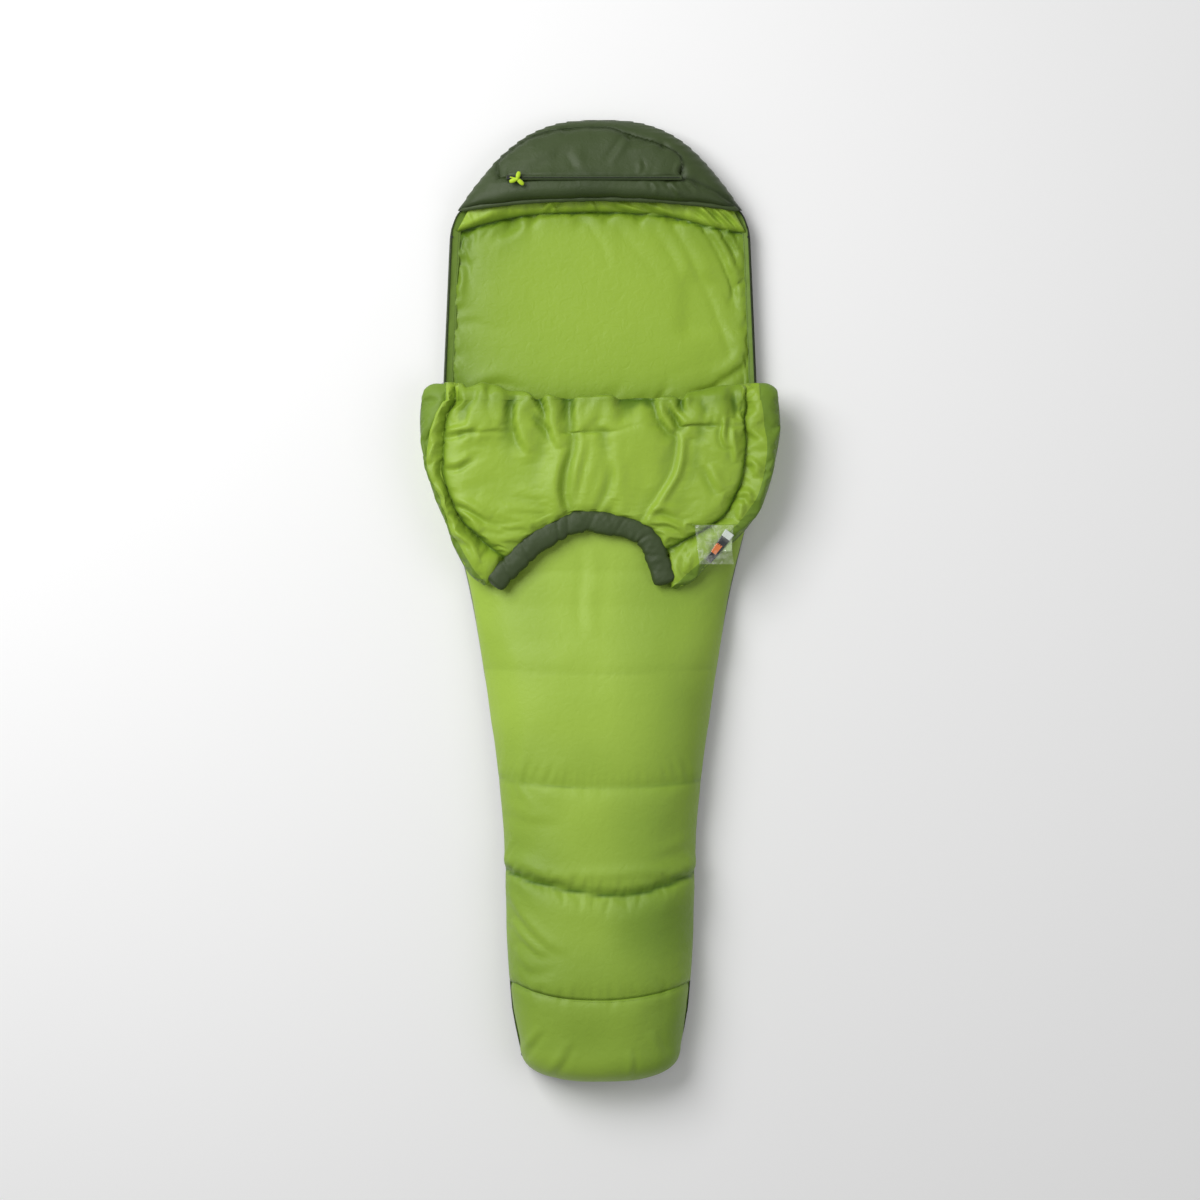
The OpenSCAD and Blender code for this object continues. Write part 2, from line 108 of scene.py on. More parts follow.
def near_path(path: Points, xy: Points) -> tuple[Points, Points]:
    """Distance of points from a path, and how far along it their nearest places are.

    Args:
        path: points of the path in the XY plane.
        xy: an array of points, the last axis being x and y.

    Returns:
        The distances, positive on the left of the path, and the lengths along the path.
    """
    start, step = path[:-1, :2], np.diff(path[:, :2], axis=0)
    length = np.linalg.norm(step, axis=1)
    best = np.full(xy.shape[:-1], np.inf)
    along = np.zeros(xy.shape[:-1])
    side = np.ones(xy.shape[:-1])
    run = 0.0
    for a, d, size in zip(start, step, length):
        off = xy - a
        t = np.clip((off @ d) / max(size**2, 1e-12), 0, 1)
        gap = np.hypot(off[..., 0] - t * d[0], off[..., 1] - t * d[1])
        closer = gap < best
        best = np.where(closer, gap, best)
        along = np.where(closer, run + t * size, along)
        side = np.where(closer, np.sign(d[0] * off[..., 1] - d[1] * off[..., 0]), side)
        run += size
    return best * side, along


def from_path(path: Points, xy: Points) -> tuple[Points, Points]:
    """Plain distance from a path, and the length along it."""
    gap, along = near_path(path, xy)
    return np.abs(gap), along


def noise(x: Points, y: Points, size: float, seed: int) -> Points:
    """Smooth lumps between -1 and 1.

    Args:
        x: first coordinate, in metres.
        y: second coordinate, in metres.
        size: width of a lump, in metres.
        seed: which pattern.

    Returns:
        The height of the lumps at each point.
    """
    lattice = np.random.default_rng(seed).uniform(-1, 1, (128, 128))
    fx, fy = np.asarray(x) / size + 37.3, np.asarray(y) / size + 53.9
    ix, iy = np.floor(fx).astype(int), np.floor(fy).astype(int)
    tx, ty = fx - ix, fy - iy
    tx, ty = (t * t * t * (t * (6 * t - 15) + 10) for t in (tx, ty))
    corner = [[lattice[(ix + i) % 128, (iy + j) % 128] for j in (0, 1)] for i in (0, 1)]
    low = corner[0][0] * (1 - tx) + corner[1][0] * tx
    high = corner[0][1] * (1 - tx) + corner[1][1] * tx
    return low * (1 - ty) + high * ty


def soft_top(z: Points, limit: Points | float, blend: float = 6 * MM) -> Points:
    """Heights that level off smoothly below a limit, over the last stretch of blend."""
    knee = limit - blend
    return np.where(z > knee, knee + blend * np.tanh(np.maximum(z - knee, 0) / blend), z)


def swell(distance: Points, reach: float, power: float = 2.4) -> Points:
    """Rounded rise of a stuffed edge, from 0 at the edge to 1 at reach."""
    t = np.clip(distance / reach, 0, 1)
    return (1 - (1 - t) ** power) ** (1 / power)


def ease(t: Points) -> Points:
    """Smooth step from 0 to 1."""
    t = np.clip(t, 0, 1)
    return t * t * (3 - 2 * t)


def groove(distance: Points, width: float) -> Points:
    """Depth share of a sewn line: 1 on the line, falling off over width."""
    return np.exp(-((distance / width) ** 1.4))


def puckers(distance: Points, along: Points, pitch: float, reach: float, seed: int) -> Points:
    """Short wrinkles that run out from a seam.

    Args:
        distance: distance from the seam.
        along: distance along the seam.
        pitch: spacing of the wrinkles.
        reach: how far they run out.
        seed: which pattern.

    Returns:
        Their height, about -1 to 1.
    """
    drift = along + 0.35 * distance * noise(along, distance, 6 * pitch, seed + 1)
    wave = noise(drift, distance * 0.12, pitch, seed)
    length = reach * (0.65 + 0.35 * noise(along, along * 0, 2.5 * pitch, seed + 2))
    return wave * np.exp(-distance / length)


def crease(xy: Points, points: Sequence[Sequence[float]], width: float) -> Points:
    """A soft fold along a line: a rounded ridge with a sharper valley on its right.

    Args:
        xy: the points of the sheet.
        points: chosen points of the line, in millimetres.
        width: half width of the ridge, in metres.

    Returns:
        The shape of the fold, from about -0.9 to 1, fading at the ends of the line.
    """
    path = smooth_path(points, 24) * MM
    gap, along = near_path(path, xy)
    total = np.linalg.norm(np.diff(path, axis=0), axis=1).sum()
    ridge = np.exp(-((gap / width) ** 2)) - 0.75 * np.exp(-(((gap + 1.5 * width) / (0.75 * width)) ** 2))
    return ridge * np.sin(np.pi * np.clip(along / total, 0, 1)) ** 0.6


class Outline:
    """Half width and top height of a CAD node by Y, read from its mesh."""

    def __init__(self, node: str) -> None:
        """Reads the node.

        Args:
            node: name of the CAD node.
        """
        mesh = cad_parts[node].data
        co = np.empty(3 * len(mesh.vertices))
        mesh.vertices.foreach_get("co", co)
        co = co.reshape(-1, 3)
        self.y = np.unique(co[:, 1].round(4))
        here = [co[np.abs(co[:, 1] - y) < 1e-4] for y in self.y]
        self.x = np.array([np.abs(rows[:, 0]).max() for rows in here])
        self.z = np.array([rows[:, 2].max() for rows in here])

    def half(self, y: Points) -> Points:
        """Half width at y."""
        return np.interp(y, self.y, self.x)

    def top(self, y: Points) -> Points:
        """Height of the top at y."""
        return np.interp(y, self.y, self.z)


# ---------------------------------------------------------------- meshes


def grid_normals(rows: Points) -> Points:
    """Unit normals of a grid of points, right-handed from its second axis to its first.

    Args:
        rows: the grid of points.

    Returns:
        A unit vector at each point.
    """
    across = np.gradient(rows, axis=1)
    down = np.gradient(rows, axis=0)
    normal = np.cross(across, down)
    return normal / np.maximum(np.linalg.norm(normal, axis=-1, keepdims=True), 1e-9)


def outward(rows: Points) -> Points:
    """Unit normals of a grid, turned so that most of them point up."""
    normals = grid_normals(rows)
    return normals * np.sign(normals[..., 2].sum())


def grid_uv(rows: Points) -> Points:
    """A flat map of a grid in metres, measured along its middle row and its middle column.

    Args:
        rows: the grid of points.

    Returns:
        Two distances at each point.
    """
    middle_row, middle_column = rows[len(rows) // 2], rows[:, rows.shape[1] // 2]
    u = run_along(middle_row)
    v = run_along(middle_column)
    return np.dstack(np.meshgrid(u, v))


def closed_sheet(
    name: str,
    top: Points,
    bottom: Points,
    keep: Points | None = None,
    normals: Points | None = None,
    pinch_depth_and_painted_shade: Points | None = None,
) -> bpy.types.Object:
    """A closed mesh between two grids of points, with a wall round its edge.

    Args:
        name: name of the object.
        top: the outer grid, rows by columns by 3.
        bottom: the inner grid, of the same size.
        keep: which cells to keep, all of them if it is left out.
        normals: shading normals of the outer grid, so that pieces cut from one grid meet smoothly.
        pinch_depth_and_painted_shade: painted shade at each point of the outer grid, from 0 to 1, which the
            cloth material turns into darker colour in seams, grooves and on sides turned from the light.

    Returns:
        The new object, at the origin.
    """
    n, m = top.shape[:2]
    keep = np.ones((n - 1, m - 1), bool) if keep is None else keep
    i, j = np.nonzero(keep)
    a, b, c, d = i * m + j, i * m + j + 1, (i + 1) * m + j + 1, (i + 1) * m + j
    inner = n * m
    walls = []
    solid = np.pad(keep, 1)
    for di, dj, p, q in ((-1, 0, a, b), (0, 1, b, c), (1, 0, c, d), (0, -1, d, a)):
        bare = ~solid[i + 1 + di, j + 1 + dj]
        walls.append(np.column_stack([q, p, p + inner, q + inner])[bare])
    over = np.column_stack([a, b, c, d])
    faces = np.vstack([over, over[:, ::-1] + inner, *walls])
    points = np.vstack([top.reshape(-1, 3), bottom.reshape(-1, 3)])
    used, faces_now = np.unique(faces, return_inverse=True)
    faces_now = faces_now.reshape(faces.shape)
    uv = np.vstack([grid_uv(top).reshape(-1, 2)] * 2)[used]
    shade = None
    if normals is not None:
        shade = np.zeros((faces.size, 3))
        shade[: over.size] = normals.reshape(-1, 3)[over.ravel()]
    thing = mesh_object(name, points[used], faces_now, uv, shade)
    # Painted shade: kept as a point attribute, which the cloth material reads to darken the colour.
    if pinch_depth_and_painted_shade is not None:
        values = np.tile(np.clip(pinch_depth_and_painted_shade, 0, 1).ravel(), 2)[used]
        layer = thing.data.attributes.new("pinch_depth_and_painted_shade", "FLOAT", "POINT")
        layer.data.foreach_set("value", values.astype(np.float32))
    return thing


def on_surface(rows: Points, path: Points, lift: float) -> Points:
    """A path in plan laid on a grid of points, smoothed a little and lifted off it.

    Args:
        rows: the grid of points.
        path: the path in plan.
        lift: height over the surface.

    Returns:
        The path in space.
    """
    flat = rows.reshape(-1, 3)
    high = flat[flat[:, 2] > np.median(flat[:, 2]) - 60 * MM]
    near = [int(np.argmin(((high[:, :2] - spot) ** 2).sum(axis=1))) for spot in path[:, :2]]
    z = np.convolve(np.pad(high[near, 2], 2, mode="edge"), np.ones(5) / 5, mode="valid")
    return np.column_stack([path[:, :2], z + lift])


def mesh_object(
    name: str,
    points: Points,
    faces: Sequence[Sequence[int]],
    uv: Points | None = None,
    shade: Points | None = None,
) -> bpy.types.Object:
    """An object from points and faces, smooth, with its faces turned outwards.

    Args:
        name: name of the object.
        points: its points, in metres.
        faces: its faces, as point numbers.
        uv: the place of each point on the flat cloth, in metres.
        shade: shading normals of the face corners, zero where the mesh's own are kept.

    Returns:
        The new object, at the origin.
    """
    centre = points.mean(axis=0)
    volume = 0.0
    for size in {len(f) for f in faces}:
        group = np.array([f for f in faces if len(f) == size])
        corner = points[group] - centre
        for k in range(1, size - 1):
            volume += np.einsum("ij,ij->", corner[:, 0], np.cross(corner[:, k], corner[:, k + 1]))
    lists = [list(map(int, f)) for f in faces]
    if volume < 0:
        lists = [f[::-1] for f in lists]
        if shade is not None:
            sizes = len(lists[0])
            shade = shade.reshape(-1, sizes, 3)[:, ::-1].reshape(-1, 3)
    mesh = bpy.data.meshes.new(name)
    mesh.from_pydata(points.tolist(), [], lists)
    mesh.update()
    if uv is not None:
        layer = mesh.uv_layers.new(name="cloth")
        corner = np.empty(len(mesh.loops), int)
        mesh.loops.foreach_get("vertex_index", corner)
        layer.data.foreach_set("uv", uv[corner].astype(np.float32).ravel())
    mesh.polygons.foreach_set("use_smooth", [True] * len(mesh.polygons))
    if shade is not None:
        own = np.empty(3 * len(mesh.loops), np.float32)
        mesh.corner_normals.foreach_get("vector", own)
        facing = np.einsum("ij,ij->", own.reshape(-1, 3), shade)
        mesh.normals_split_custom_set((shade * (1 if facing >= 0 else -1)).tolist())
    thing = bpy.data.objects.new(name, mesh)
    bpy.context.scene.collection.objects.link(thing)
    return thing


@dataclass(frozen=True)
class Stuffing:
    """A cloth simulation that lets a sheet settle over its padding.

    Attributes:
        pressure: push of the padding.
        slack: extra cloth, as a share of its length, where it is tightest and where it is loosest.
        frames: how many frames it settles for.
        cap: the furthest that a point may move, in metres.
        bend: bending stiffness.
    """

    pressure: float = 0.4
    slack: tuple[float, float] = (0.02, 0.10)
    frames: int = 14
    cap: float = 9 * MM
    bend: float = 0.6

    def settle(self, top: Points, bottom: Points, pinned: Points, loose: Points) -> Points:
        """Runs the simulation on a closed sheet, ten times its size, and reads the outer grid back.

        Args:
            top: the outer grid.
            bottom: the inner grid, which stays where it is.
            pinned: True at the outer points that stay where they are.
            loose: share from 0 to 1 of the extra cloth at each outer point.

        Returns:
            The settled outer grid.
        """
        scene = bpy.context.scene
        thing = closed_sheet("settling", top * 10, bottom * 10)
        count = top.shape[0] * top.shape[1]
        pin = thing.vertex_groups.new(name="pin")
        held = [int(k) for k in np.nonzero(pinned.ravel())[0]]
        pin.add(held + list(range(count, 2 * count)), 1.0, "REPLACE")
        tight = thing.vertex_groups.new(name="tight")
        level = np.round((1 - loose.ravel()) * 12).astype(int)
        for step in range(13):
            tight.add([int(k) for k in np.nonzero(level == step)[0]], step / 12, "REPLACE")
        tight.add(list(range(count, 2 * count)), 1.0, "REPLACE")
        cloth = thing.modifiers.new("cloth", "CLOTH")
        rules = cloth.settings
        rules.quality = 5
        rules.mass = 0.12
        rules.tension_stiffness = rules.compression_stiffness = 18
        rules.shear_stiffness = 6
        rules.bending_stiffness = self.bend
        rules.air_damping = 3
        rules.vertex_group_mass = "pin"
        rules.use_pressure = True
        rules.uniform_pressure_force = self.pressure
        rules.vertex_group_shrink = "tight"
        rules.shrink_min = -self.slack[1]
        rules.shrink_max = -self.slack[0]
        rules.effector_weights.gravity = 0
        cloth.collision_settings.use_collision = False
        cloth.point_cache.frame_start, cloth.point_cache.frame_end = 1, self.frames
        for frame_number in range(1, self.frames + 1):
            scene.frame_set(frame_number)
        graph = bpy.context.evaluated_depsgraph_get()
        settled = thing.evaluated_get(graph).to_mesh()
        co = np.empty(3 * len(settled.vertices), np.float32)
        settled.vertices.foreach_get("co", co)
        moved = co.reshape(-1, 3)[:count].reshape(top.shape) / 10 - top
        thing.evaluated_get(graph).to_mesh_clear()
        mesh = thing.data
        bpy.data.objects.remove(thing)
        bpy.data.meshes.remove(mesh)
        scene.frame_set(1)
        moved = np.nan_to_num(moved)
        size = np.linalg.norm(moved, axis=-1, keepdims=True)
        moved *= np.tanh(size / self.cap) * self.cap / np.maximum(size, 1e-9)
        log.info("settled: mean %.2f mm, most %.2f mm", size.mean() / MM, size.max() / MM)
        return top + moved


def tube(name: str, path: Points, wide: Points, high: Points, sides: int = 20) -> bpy.types.Object:
    """A closed tube along a path, with its own half width and half height at each point.

    Args:
        name: name of the object.
        path: points of its middle line, in metres.
        wide: half width across the path, in metres.
        high: half height, in metres, of shape (points,) or (points, sides).
        sides: corners of a section.

    Returns:
        The new object, at the origin.
    """
    count = len(path)
    step = np.gradient(path, axis=0)
    flat = np.column_stack([-step[:, 1], step[:, 0], np.zeros(count)])
    flat /= np.maximum(np.linalg.norm(flat, axis=1, keepdims=True), 1e-9)
    up = np.cross(step / np.linalg.norm(step, axis=1, keepdims=True), flat)
    angle = np.arange(sides) * 2 * np.pi / sides
    wide = np.broadcast_to(np.reshape(wide, (-1, 1)) if np.ndim(wide) < 2 else wide, (count, sides))
    high = np.broadcast_to(np.reshape(high, (-1, 1)) if np.ndim(high) < 2 else high, (count, sides))
    ring = (
        path[:, None, :]
        + flat[:, None, :] * (wide * np.cos(angle))[..., None]
        + up[:, None, :] * (high * np.sin(angle))[..., None]
    )
    points = np.vstack([ring.reshape(-1, 3), path[:1], path[-1:]])
    faces: list[tuple[int, ...]] = []
    for i in range(count - 1):
        for j in range(sides):
            k = (j + 1) % sides
            faces.append((i * sides + j, i * sides + k, (i + 1) * sides + k, (i + 1) * sides + j))
    for j in range(sides):
        k = (j + 1) % sides
        last = (count - 1) * sides
        faces.append((k, j, count * sides))
        faces.append((last + j, last + k, count * sides + 1))
    run = run_along(path)
    around = np.minimum(angle, 2 * np.pi - angle) * float(np.mean(wide))
    uv = np.vstack([np.dstack(np.meshgrid(around, run)).reshape(-1, 2), [[0, 0], [0, run[-1]]]])
    return mesh_object(name, points, faces, uv)


# ---------------------------------------------------------------- finishes


class Graph:
    """A small helper that adds and joins shader nodes."""

    def __init__(self, tree: bpy.types.NodeTree) -> None:
        """Keeps the tree."""
        self.tree = tree

    def add(self, kind: str, **settings: object) -> bpy.types.Node:
        """Adds a node and sets its properties.

        Args:
            kind: type of the node.
            **settings: its properties and their values.

        Returns:
            The node.
        """
        node = self.tree.nodes.new(kind)
        for key, value in settings.items():
            setattr(node, key, value)
        return node

    def join(self, source: bpy.types.NodeSocket, target: bpy.types.NodeSocket) -> None:
        """Joins two sockets."""
        self.tree.links.new(source, target)

    def math(self, operation: str, a: object, b: object = 0.0) -> bpy.types.NodeSocket:
        """Adds a Math node on two values or sockets.

        Args:
            operation: name of the operation.
            a: first value or socket.
            b: second value or socket.

        Returns:
            The socket of the result.
        """
        node = self.add("ShaderNodeMath", operation=operation)
        for slot, value in zip(node.inputs, (a, b)):
            if isinstance(value, bpy.types.NodeSocket):
                self.join(value, slot)
            else:
                slot.default_value = value
        return node.outputs[0]


def new_group(name: str, inputs: dict[str, tuple[str, float]], outputs: dict[str, str]) -> bpy.types.NodeTree:
    """A shader group with named sockets.

    Args:
        name: name of the group.
        inputs: socket type and default by name; a vector has no default.
        outputs: socket type by name.

    Returns:
        The group, holding only its input and output nodes.
    """
    group = bpy.data.node_groups.new(name, "ShaderNodeTree")
    for label, (kind, default) in inputs.items():
        socket = group.interface.new_socket(name=label, in_out="INPUT", socket_type=kind)
        if kind == "NodeSocketFloat":
            socket.default_value = default
    for label, kind in outputs.items():
        group.interface.new_socket(name=label, in_out="OUTPUT", socket_type=kind)
    return group


def weave_group() -> bpy.types.NodeTree:
    """The plain weave of a light nylon cloth, with a heavier thread every few millimetres.

    Returns:
        The node group.
    """
    group = new_group(
        "plain_weave",
        {
            "Place": ("NodeSocketVector", 0),
            "Threads": ("NodeSocketFloat", 1400),
            "Ripstop": ("NodeSocketFloat", 0.3),
        },
        {"Height": "NodeSocketFloat", "Thread": "NodeSocketFloat"},
    )
    g = Graph(group)
    source, sink = g.add("NodeGroupInput"), g.add("NodeGroupOutput")
    split = g.add("ShaderNodeSeparateXYZ")
    g.join(source.outputs["Place"], split.inputs[0])
    waves = []
    for axis in ("X", "Y"):
        turn = g.math("MULTIPLY", split.outputs[axis], source.outputs["Threads"])
        waves.append(g.math("SINE", turn))
    cloth = g.math("MULTIPLY", waves[0], waves[1])
    ribs = []
    for axis in ("X", "Y"):
        turn = g.math("MULTIPLY", split.outputs[axis], 900.0)
        ribs.append(g.math("POWER", g.math("ABSOLUTE", g.math("COSINE", turn)), 24.0))
    rib = g.math("MULTIPLY", g.math("MAXIMUM", ribs[0], ribs[1]), source.outputs["Ripstop"])
    g.join(g.math("ADD", g.math("MULTIPLY", cloth, 0.5), rib), sink.inputs["Height"])
    g.join(g.math("MULTIPLY_ADD", cloth, 0.5), sink.inputs["Thread"])
    return group


def crumple_group() -> bpy.types.NodeTree:
    """Fine crumples and slow changes of tone over a cloth.

    Returns:
        The node group.
    """
    group = new_group(
        "crumple",
        {"Place": ("NodeSocketVector", 0), "Size": ("NodeSocketFloat", 40)},
        {"Height": "NodeSocketFloat", "Tone": "NodeSocketFloat"},
    )
    g = Graph(group)
    source, sink = g.add("NodeGroupInput"), g.add("NodeGroupOutput")
    fine = g.add("ShaderNodeTexNoise", noise_dimensions="3D")
    g.join(source.outputs["Place"], fine.inputs["Vector"])
    g.join(source.outputs["Size"], fine.inputs["Scale"])
    fine.inputs["Detail"].default_value = 3.0
    fine.inputs["Roughness"].default_value = 0.55
    fine.inputs["Distortion"].default_value = 0.8
    slow = g.add("ShaderNodeTexNoise", noise_dimensions="3D")
    g.join(source.outputs["Place"], slow.inputs["Vector"])
    slow.inputs["Scale"].default_value = 4.0
    slow.inputs["Detail"].default_value = 2.0
    g.join(fine.outputs["Fac"], sink.inputs["Height"])
    g.join(slow.outputs["Fac"], sink.inputs["Tone"])
    return group


Colour = tuple[float, float, float]


def linear(red: int, green: int, blue: int) -> Colour:
    """A screen colour as linear light.

    Args:
        red: red, from 0 to 255.
        green: green, from 0 to 255.
        blue: blue, from 0 to 255.

    Returns:
        The three shares, from 0 to 1.
    """
    return tuple(
        c / 255 / 12.92 if c <= 10 else ((c / 255 + 0.055) / 1.055) ** 2.4
        for c in (red, green, blue)
    )


@dataclass(frozen=True)
class Cloth:
    """A woven finish, darkened by a sheet's painted shade where it carries one.

    Attributes:
        name: name of the material.
        light: colour of the cloth where it is palest.
        dark: colour where its random tone is darkest; a much darker, more saturated version of it is the
            painted shade.
        roughness: roughness of the surface.
        sheen: weight of the soft edge sheen.
        crumple: height of the fine crumples, in metres.
        ripstop: share of the heavier threads in the weave's height.
    """

    name: str
    light: Colour
    dark: Colour
    roughness: float = 0.5
    sheen: float = 0.2
    crumple: float = 0.0015
    ripstop: float = 0.25

    def material(self) -> bpy.types.Material:
        """Builds the material, or returns it if it is there.

        Returns:
            The material.
        """
        label = self.name + "_finish"
        if label in bpy.data.materials:
            return bpy.data.materials[label]
        material = bpy.data.materials.new(label)
        material.use_nodes = True
        g = Graph(material.node_tree)
        shader = material.node_tree.nodes["Principled BSDF"]
        shader.inputs["Sheen Weight"].default_value = self.sheen
        shader.inputs["Sheen Roughness"].default_value = 0.45
        shader.inputs["Specular IOR Level"].default_value = 0.35
        place = g.add("ShaderNodeTexCoord")
        weave = g.add("ShaderNodeGroup", node_tree=groups["weave"])
        weave.inputs["Threads"].default_value = 5200.0
        weave.inputs["Ripstop"].default_value = self.ripstop
        g.join(place.outputs["UV"], weave.inputs["Place"])
        crumple = g.add("ShaderNodeGroup", node_tree=groups["crumple"])
        crumple.inputs["Size"].default_value = 55.0
        g.join(place.outputs["Object"], crumple.inputs["Place"])
        mix = g.add("ShaderNodeMix", data_type="RGBA")
        mix.inputs["A"].default_value = (*self.dark, 1)
        mix.inputs["B"].default_value = (*self.light, 1)
        tone = g.math("MULTIPLY_ADD", crumple.outputs["Tone"], 0.8)
        tone.node.inputs[2].default_value = 0.1
        g.join(g.math("ADD", tone, g.math("MULTIPLY", weave.outputs["Thread"], 0.12)), mix.inputs["Factor"])
        # Painted shade: the colour is mixed towards a much darker green by the sheet's painted-shade
        # attribute.
        painted_shade_mix = g.add("ShaderNodeMix", data_type="RGBA")
        painted_shade_mix.inputs["B"].default_value = (self.dark[0] * 0.28, self.dark[1] * 0.38, self.dark[2] * 0.15, 1)
        g.join(g.add("ShaderNodeAttribute", attribute_name="pinch_depth_and_painted_shade").outputs["Fac"], painted_shade_mix.inputs["Factor"])
        g.join(mix.outputs["Result"], painted_shade_mix.inputs["A"])
        g.join(painted_shade_mix.outputs["Result"], shader.inputs["Base Color"])
        rough = g.math("MULTIPLY_ADD", crumple.outputs["Height"], 0.16)
        rough.node.inputs[2].default_value = self.roughness - 0.08
        g.join(rough, shader.inputs["Roughness"])
        soft = g.add("ShaderNodeBump")
        soft.inputs["Distance"].default_value = self.crumple
        soft.inputs["Strength"].default_value = 0.7
        g.join(crumple.outputs["Height"], soft.inputs["Height"])
        fine = g.add("ShaderNodeBump")
        fine.inputs["Distance"].default_value = 0.00012
        fine.inputs["Strength"].default_value = 0.6
        g.join(weave.outputs["Height"], fine.inputs["Height"])
        g.join(soft.outputs["Normal"], fine.inputs["Normal"])
        g.join(fine.outputs["Normal"], shader.inputs["Normal"])
        return material


@dataclass(frozen=True)
class Hard:
    """A plain moulded or metal finish with fine mottling.

    Attributes:
        name: name of the material.
        colour: its colour.
        roughness: roughness of the surface.
        metallic: 1 for metal.
        coat: weight of a clear coat.
    """

    name: str
    colour: Colour
    roughness: float = 0.4
    metallic: float = 0.0
    coat: float = 0.0

    def material(self) -> bpy.types.Material:
        """Builds the material, or returns it if it is there.

        Returns:
            The material.
        """
        label = self.name + "_finish"
        if label in bpy.data.materials:
            return bpy.data.materials[label]
        material = bpy.data.materials.new(label)
        material.use_nodes = True
        g = Graph(material.node_tree)
        shader = material.node_tree.nodes["Principled BSDF"]
        shader.inputs["Metallic"].default_value = self.metallic
        shader.inputs["Coat Weight"].default_value = self.coat
        place = g.add("ShaderNodeTexCoord")
        crumple = g.add("ShaderNodeGroup", node_tree=groups["crumple"])
        crumple.inputs["Size"].default_value = 900.0
        g.join(place.outputs["Object"], crumple.inputs["Place"])
        mix = g.add("ShaderNodeMix", data_type="RGBA")
        mix.inputs["A"].default_value = (*[c * 0.8 for c in self.colour], 1)
        mix.inputs["B"].default_value = (*[min(1, c * 1.2) for c in self.colour], 1)
        g.join(crumple.outputs["Height"], mix.inputs["Factor"])
        g.join(mix.outputs["Result"], shader.inputs["Base Color"])
        rough = g.math("MULTIPLY_ADD", crumple.outputs["Height"], 0.2)
        rough.node.inputs[2].default_value = self.roughness - 0.1
        g.join(rough, shader.inputs["Roughness"])
        return material


groups = {"weave": weave_group(), "crumple": crumple_group()}

SHELL_LIME = Cloth("shell_lime", linear(166, 197, 74), linear(150, 182, 58), roughness=0.48, sheen=0.03)
LINING_LIME = Cloth(
    "lining_lime", linear(156, 187, 60), linear(140, 172, 48), roughness=0.42, sheen=0.03, ripstop=0.0
)
# Painted shade in part: the flap's edge strips and the fold's ends get a darker green than the shell, partly
# the tape's own greyer colour and partly shade where the cloth turns down away from the light.
STRIP_GREEN_PAINTED_SHADE = Cloth(
    "strip_green_painted_shade", linear(122, 153, 45), linear(106, 137, 38), roughness=0.55, sheen=0.03, ripstop=0.0
)
TAPE_GREEN = Cloth(
    "tape_green", linear(112, 140, 50), linear(96, 124, 42), roughness=0.6, sheen=0.03, ripstop=0.0
)
HOOD_OLIVE = Cloth("hood_olive", linear(68, 83, 45), linear(54, 68, 36), roughness=0.52, sheen=0.0)
TRIM_OLIVE = Cloth(
    "trim_olive", linear(62, 77, 42), linear(50, 64, 33), roughness=0.52, sheen=0.0, ripstop=0.0
)
ZIP_BLACK = Hard("zip_black", linear(40, 45, 38), roughness=0.4)
SLIDER_METAL = Hard("slider_metal", linear(60, 62, 60), roughness=0.35, metallic=1.0, coat=0.3)
PULL_LIME = Cloth("pull_lime", linear(190, 222, 40), linear(165, 198, 30), crumple=0.0004, ripstop=0.0)
LABEL_PALE = Cloth("label_pale", linear(168, 192, 128), linear(150, 176, 110), crumple=0.0005, ripstop=0.0)
LABEL_WHITE = Cloth("label_white", linear(214, 222, 214), linear(200, 208, 200), crumple=0.0005, ripstop=0.0)
CARD_BLACK = Hard("card_black", linear(42, 44, 46), roughness=0.35, coat=0.4)
CARD_ORANGE = Hard("card_orange", linear(214, 120, 62), roughness=0.35, coat=0.4)
THREAD_DARK = Cloth("thread_dark", linear(52, 64, 32), linear(44, 54, 26), crumple=0.0002, ripstop=0.0)
THREAD_LIME = Cloth("thread_lime", linear(128, 158, 56), linear(116, 146, 48), crumple=0.0002, ripstop=0.0)


@dataclass(frozen=True)
class Film:
    """Clear crumpled film with painted white glints: it turns opaque and pale where its crumple noise peaks.
    """

    name: str = "clear_film"

    def material(self) -> bpy.types.Material:
        """Builds the material, or returns it if it is there.

        Returns:
            The material.
        """
        label = self.name + "_finish"
        if label in bpy.data.materials:
            return bpy.data.materials[label]
        material = bpy.data.materials.new(label)
        material.use_nodes = True
        g = Graph(material.node_tree)
        shader = material.node_tree.nodes["Principled BSDF"]
        shader.inputs["Base Color"].default_value = (0.86, 0.9, 0.82, 1)
        shader.inputs["Roughness"].default_value = 0.12
        shader.inputs["Coat Weight"].default_value = 0.6
        place = g.add("ShaderNodeTexCoord")
        crumple = g.add("ShaderNodeGroup", node_tree=groups["crumple"])
        crumple.inputs["Size"].default_value = 70.0
        g.join(place.outputs["Object"], crumple.inputs["Place"])
        # Painted highlights: opacity rises towards the pale base colour where the noise peaks.
        painted_glint = g.math("POWER", crumple.outputs["Height"], 5.0)
        alpha = g.math("MULTIPLY_ADD", painted_glint, 1.4)
        alpha.node.inputs[2].default_value = 0.03
        g.join(g.math("MINIMUM", alpha, 0.5), shader.inputs["Alpha"])
        return material


# ---------------------------------------------------------------- repeated pieces


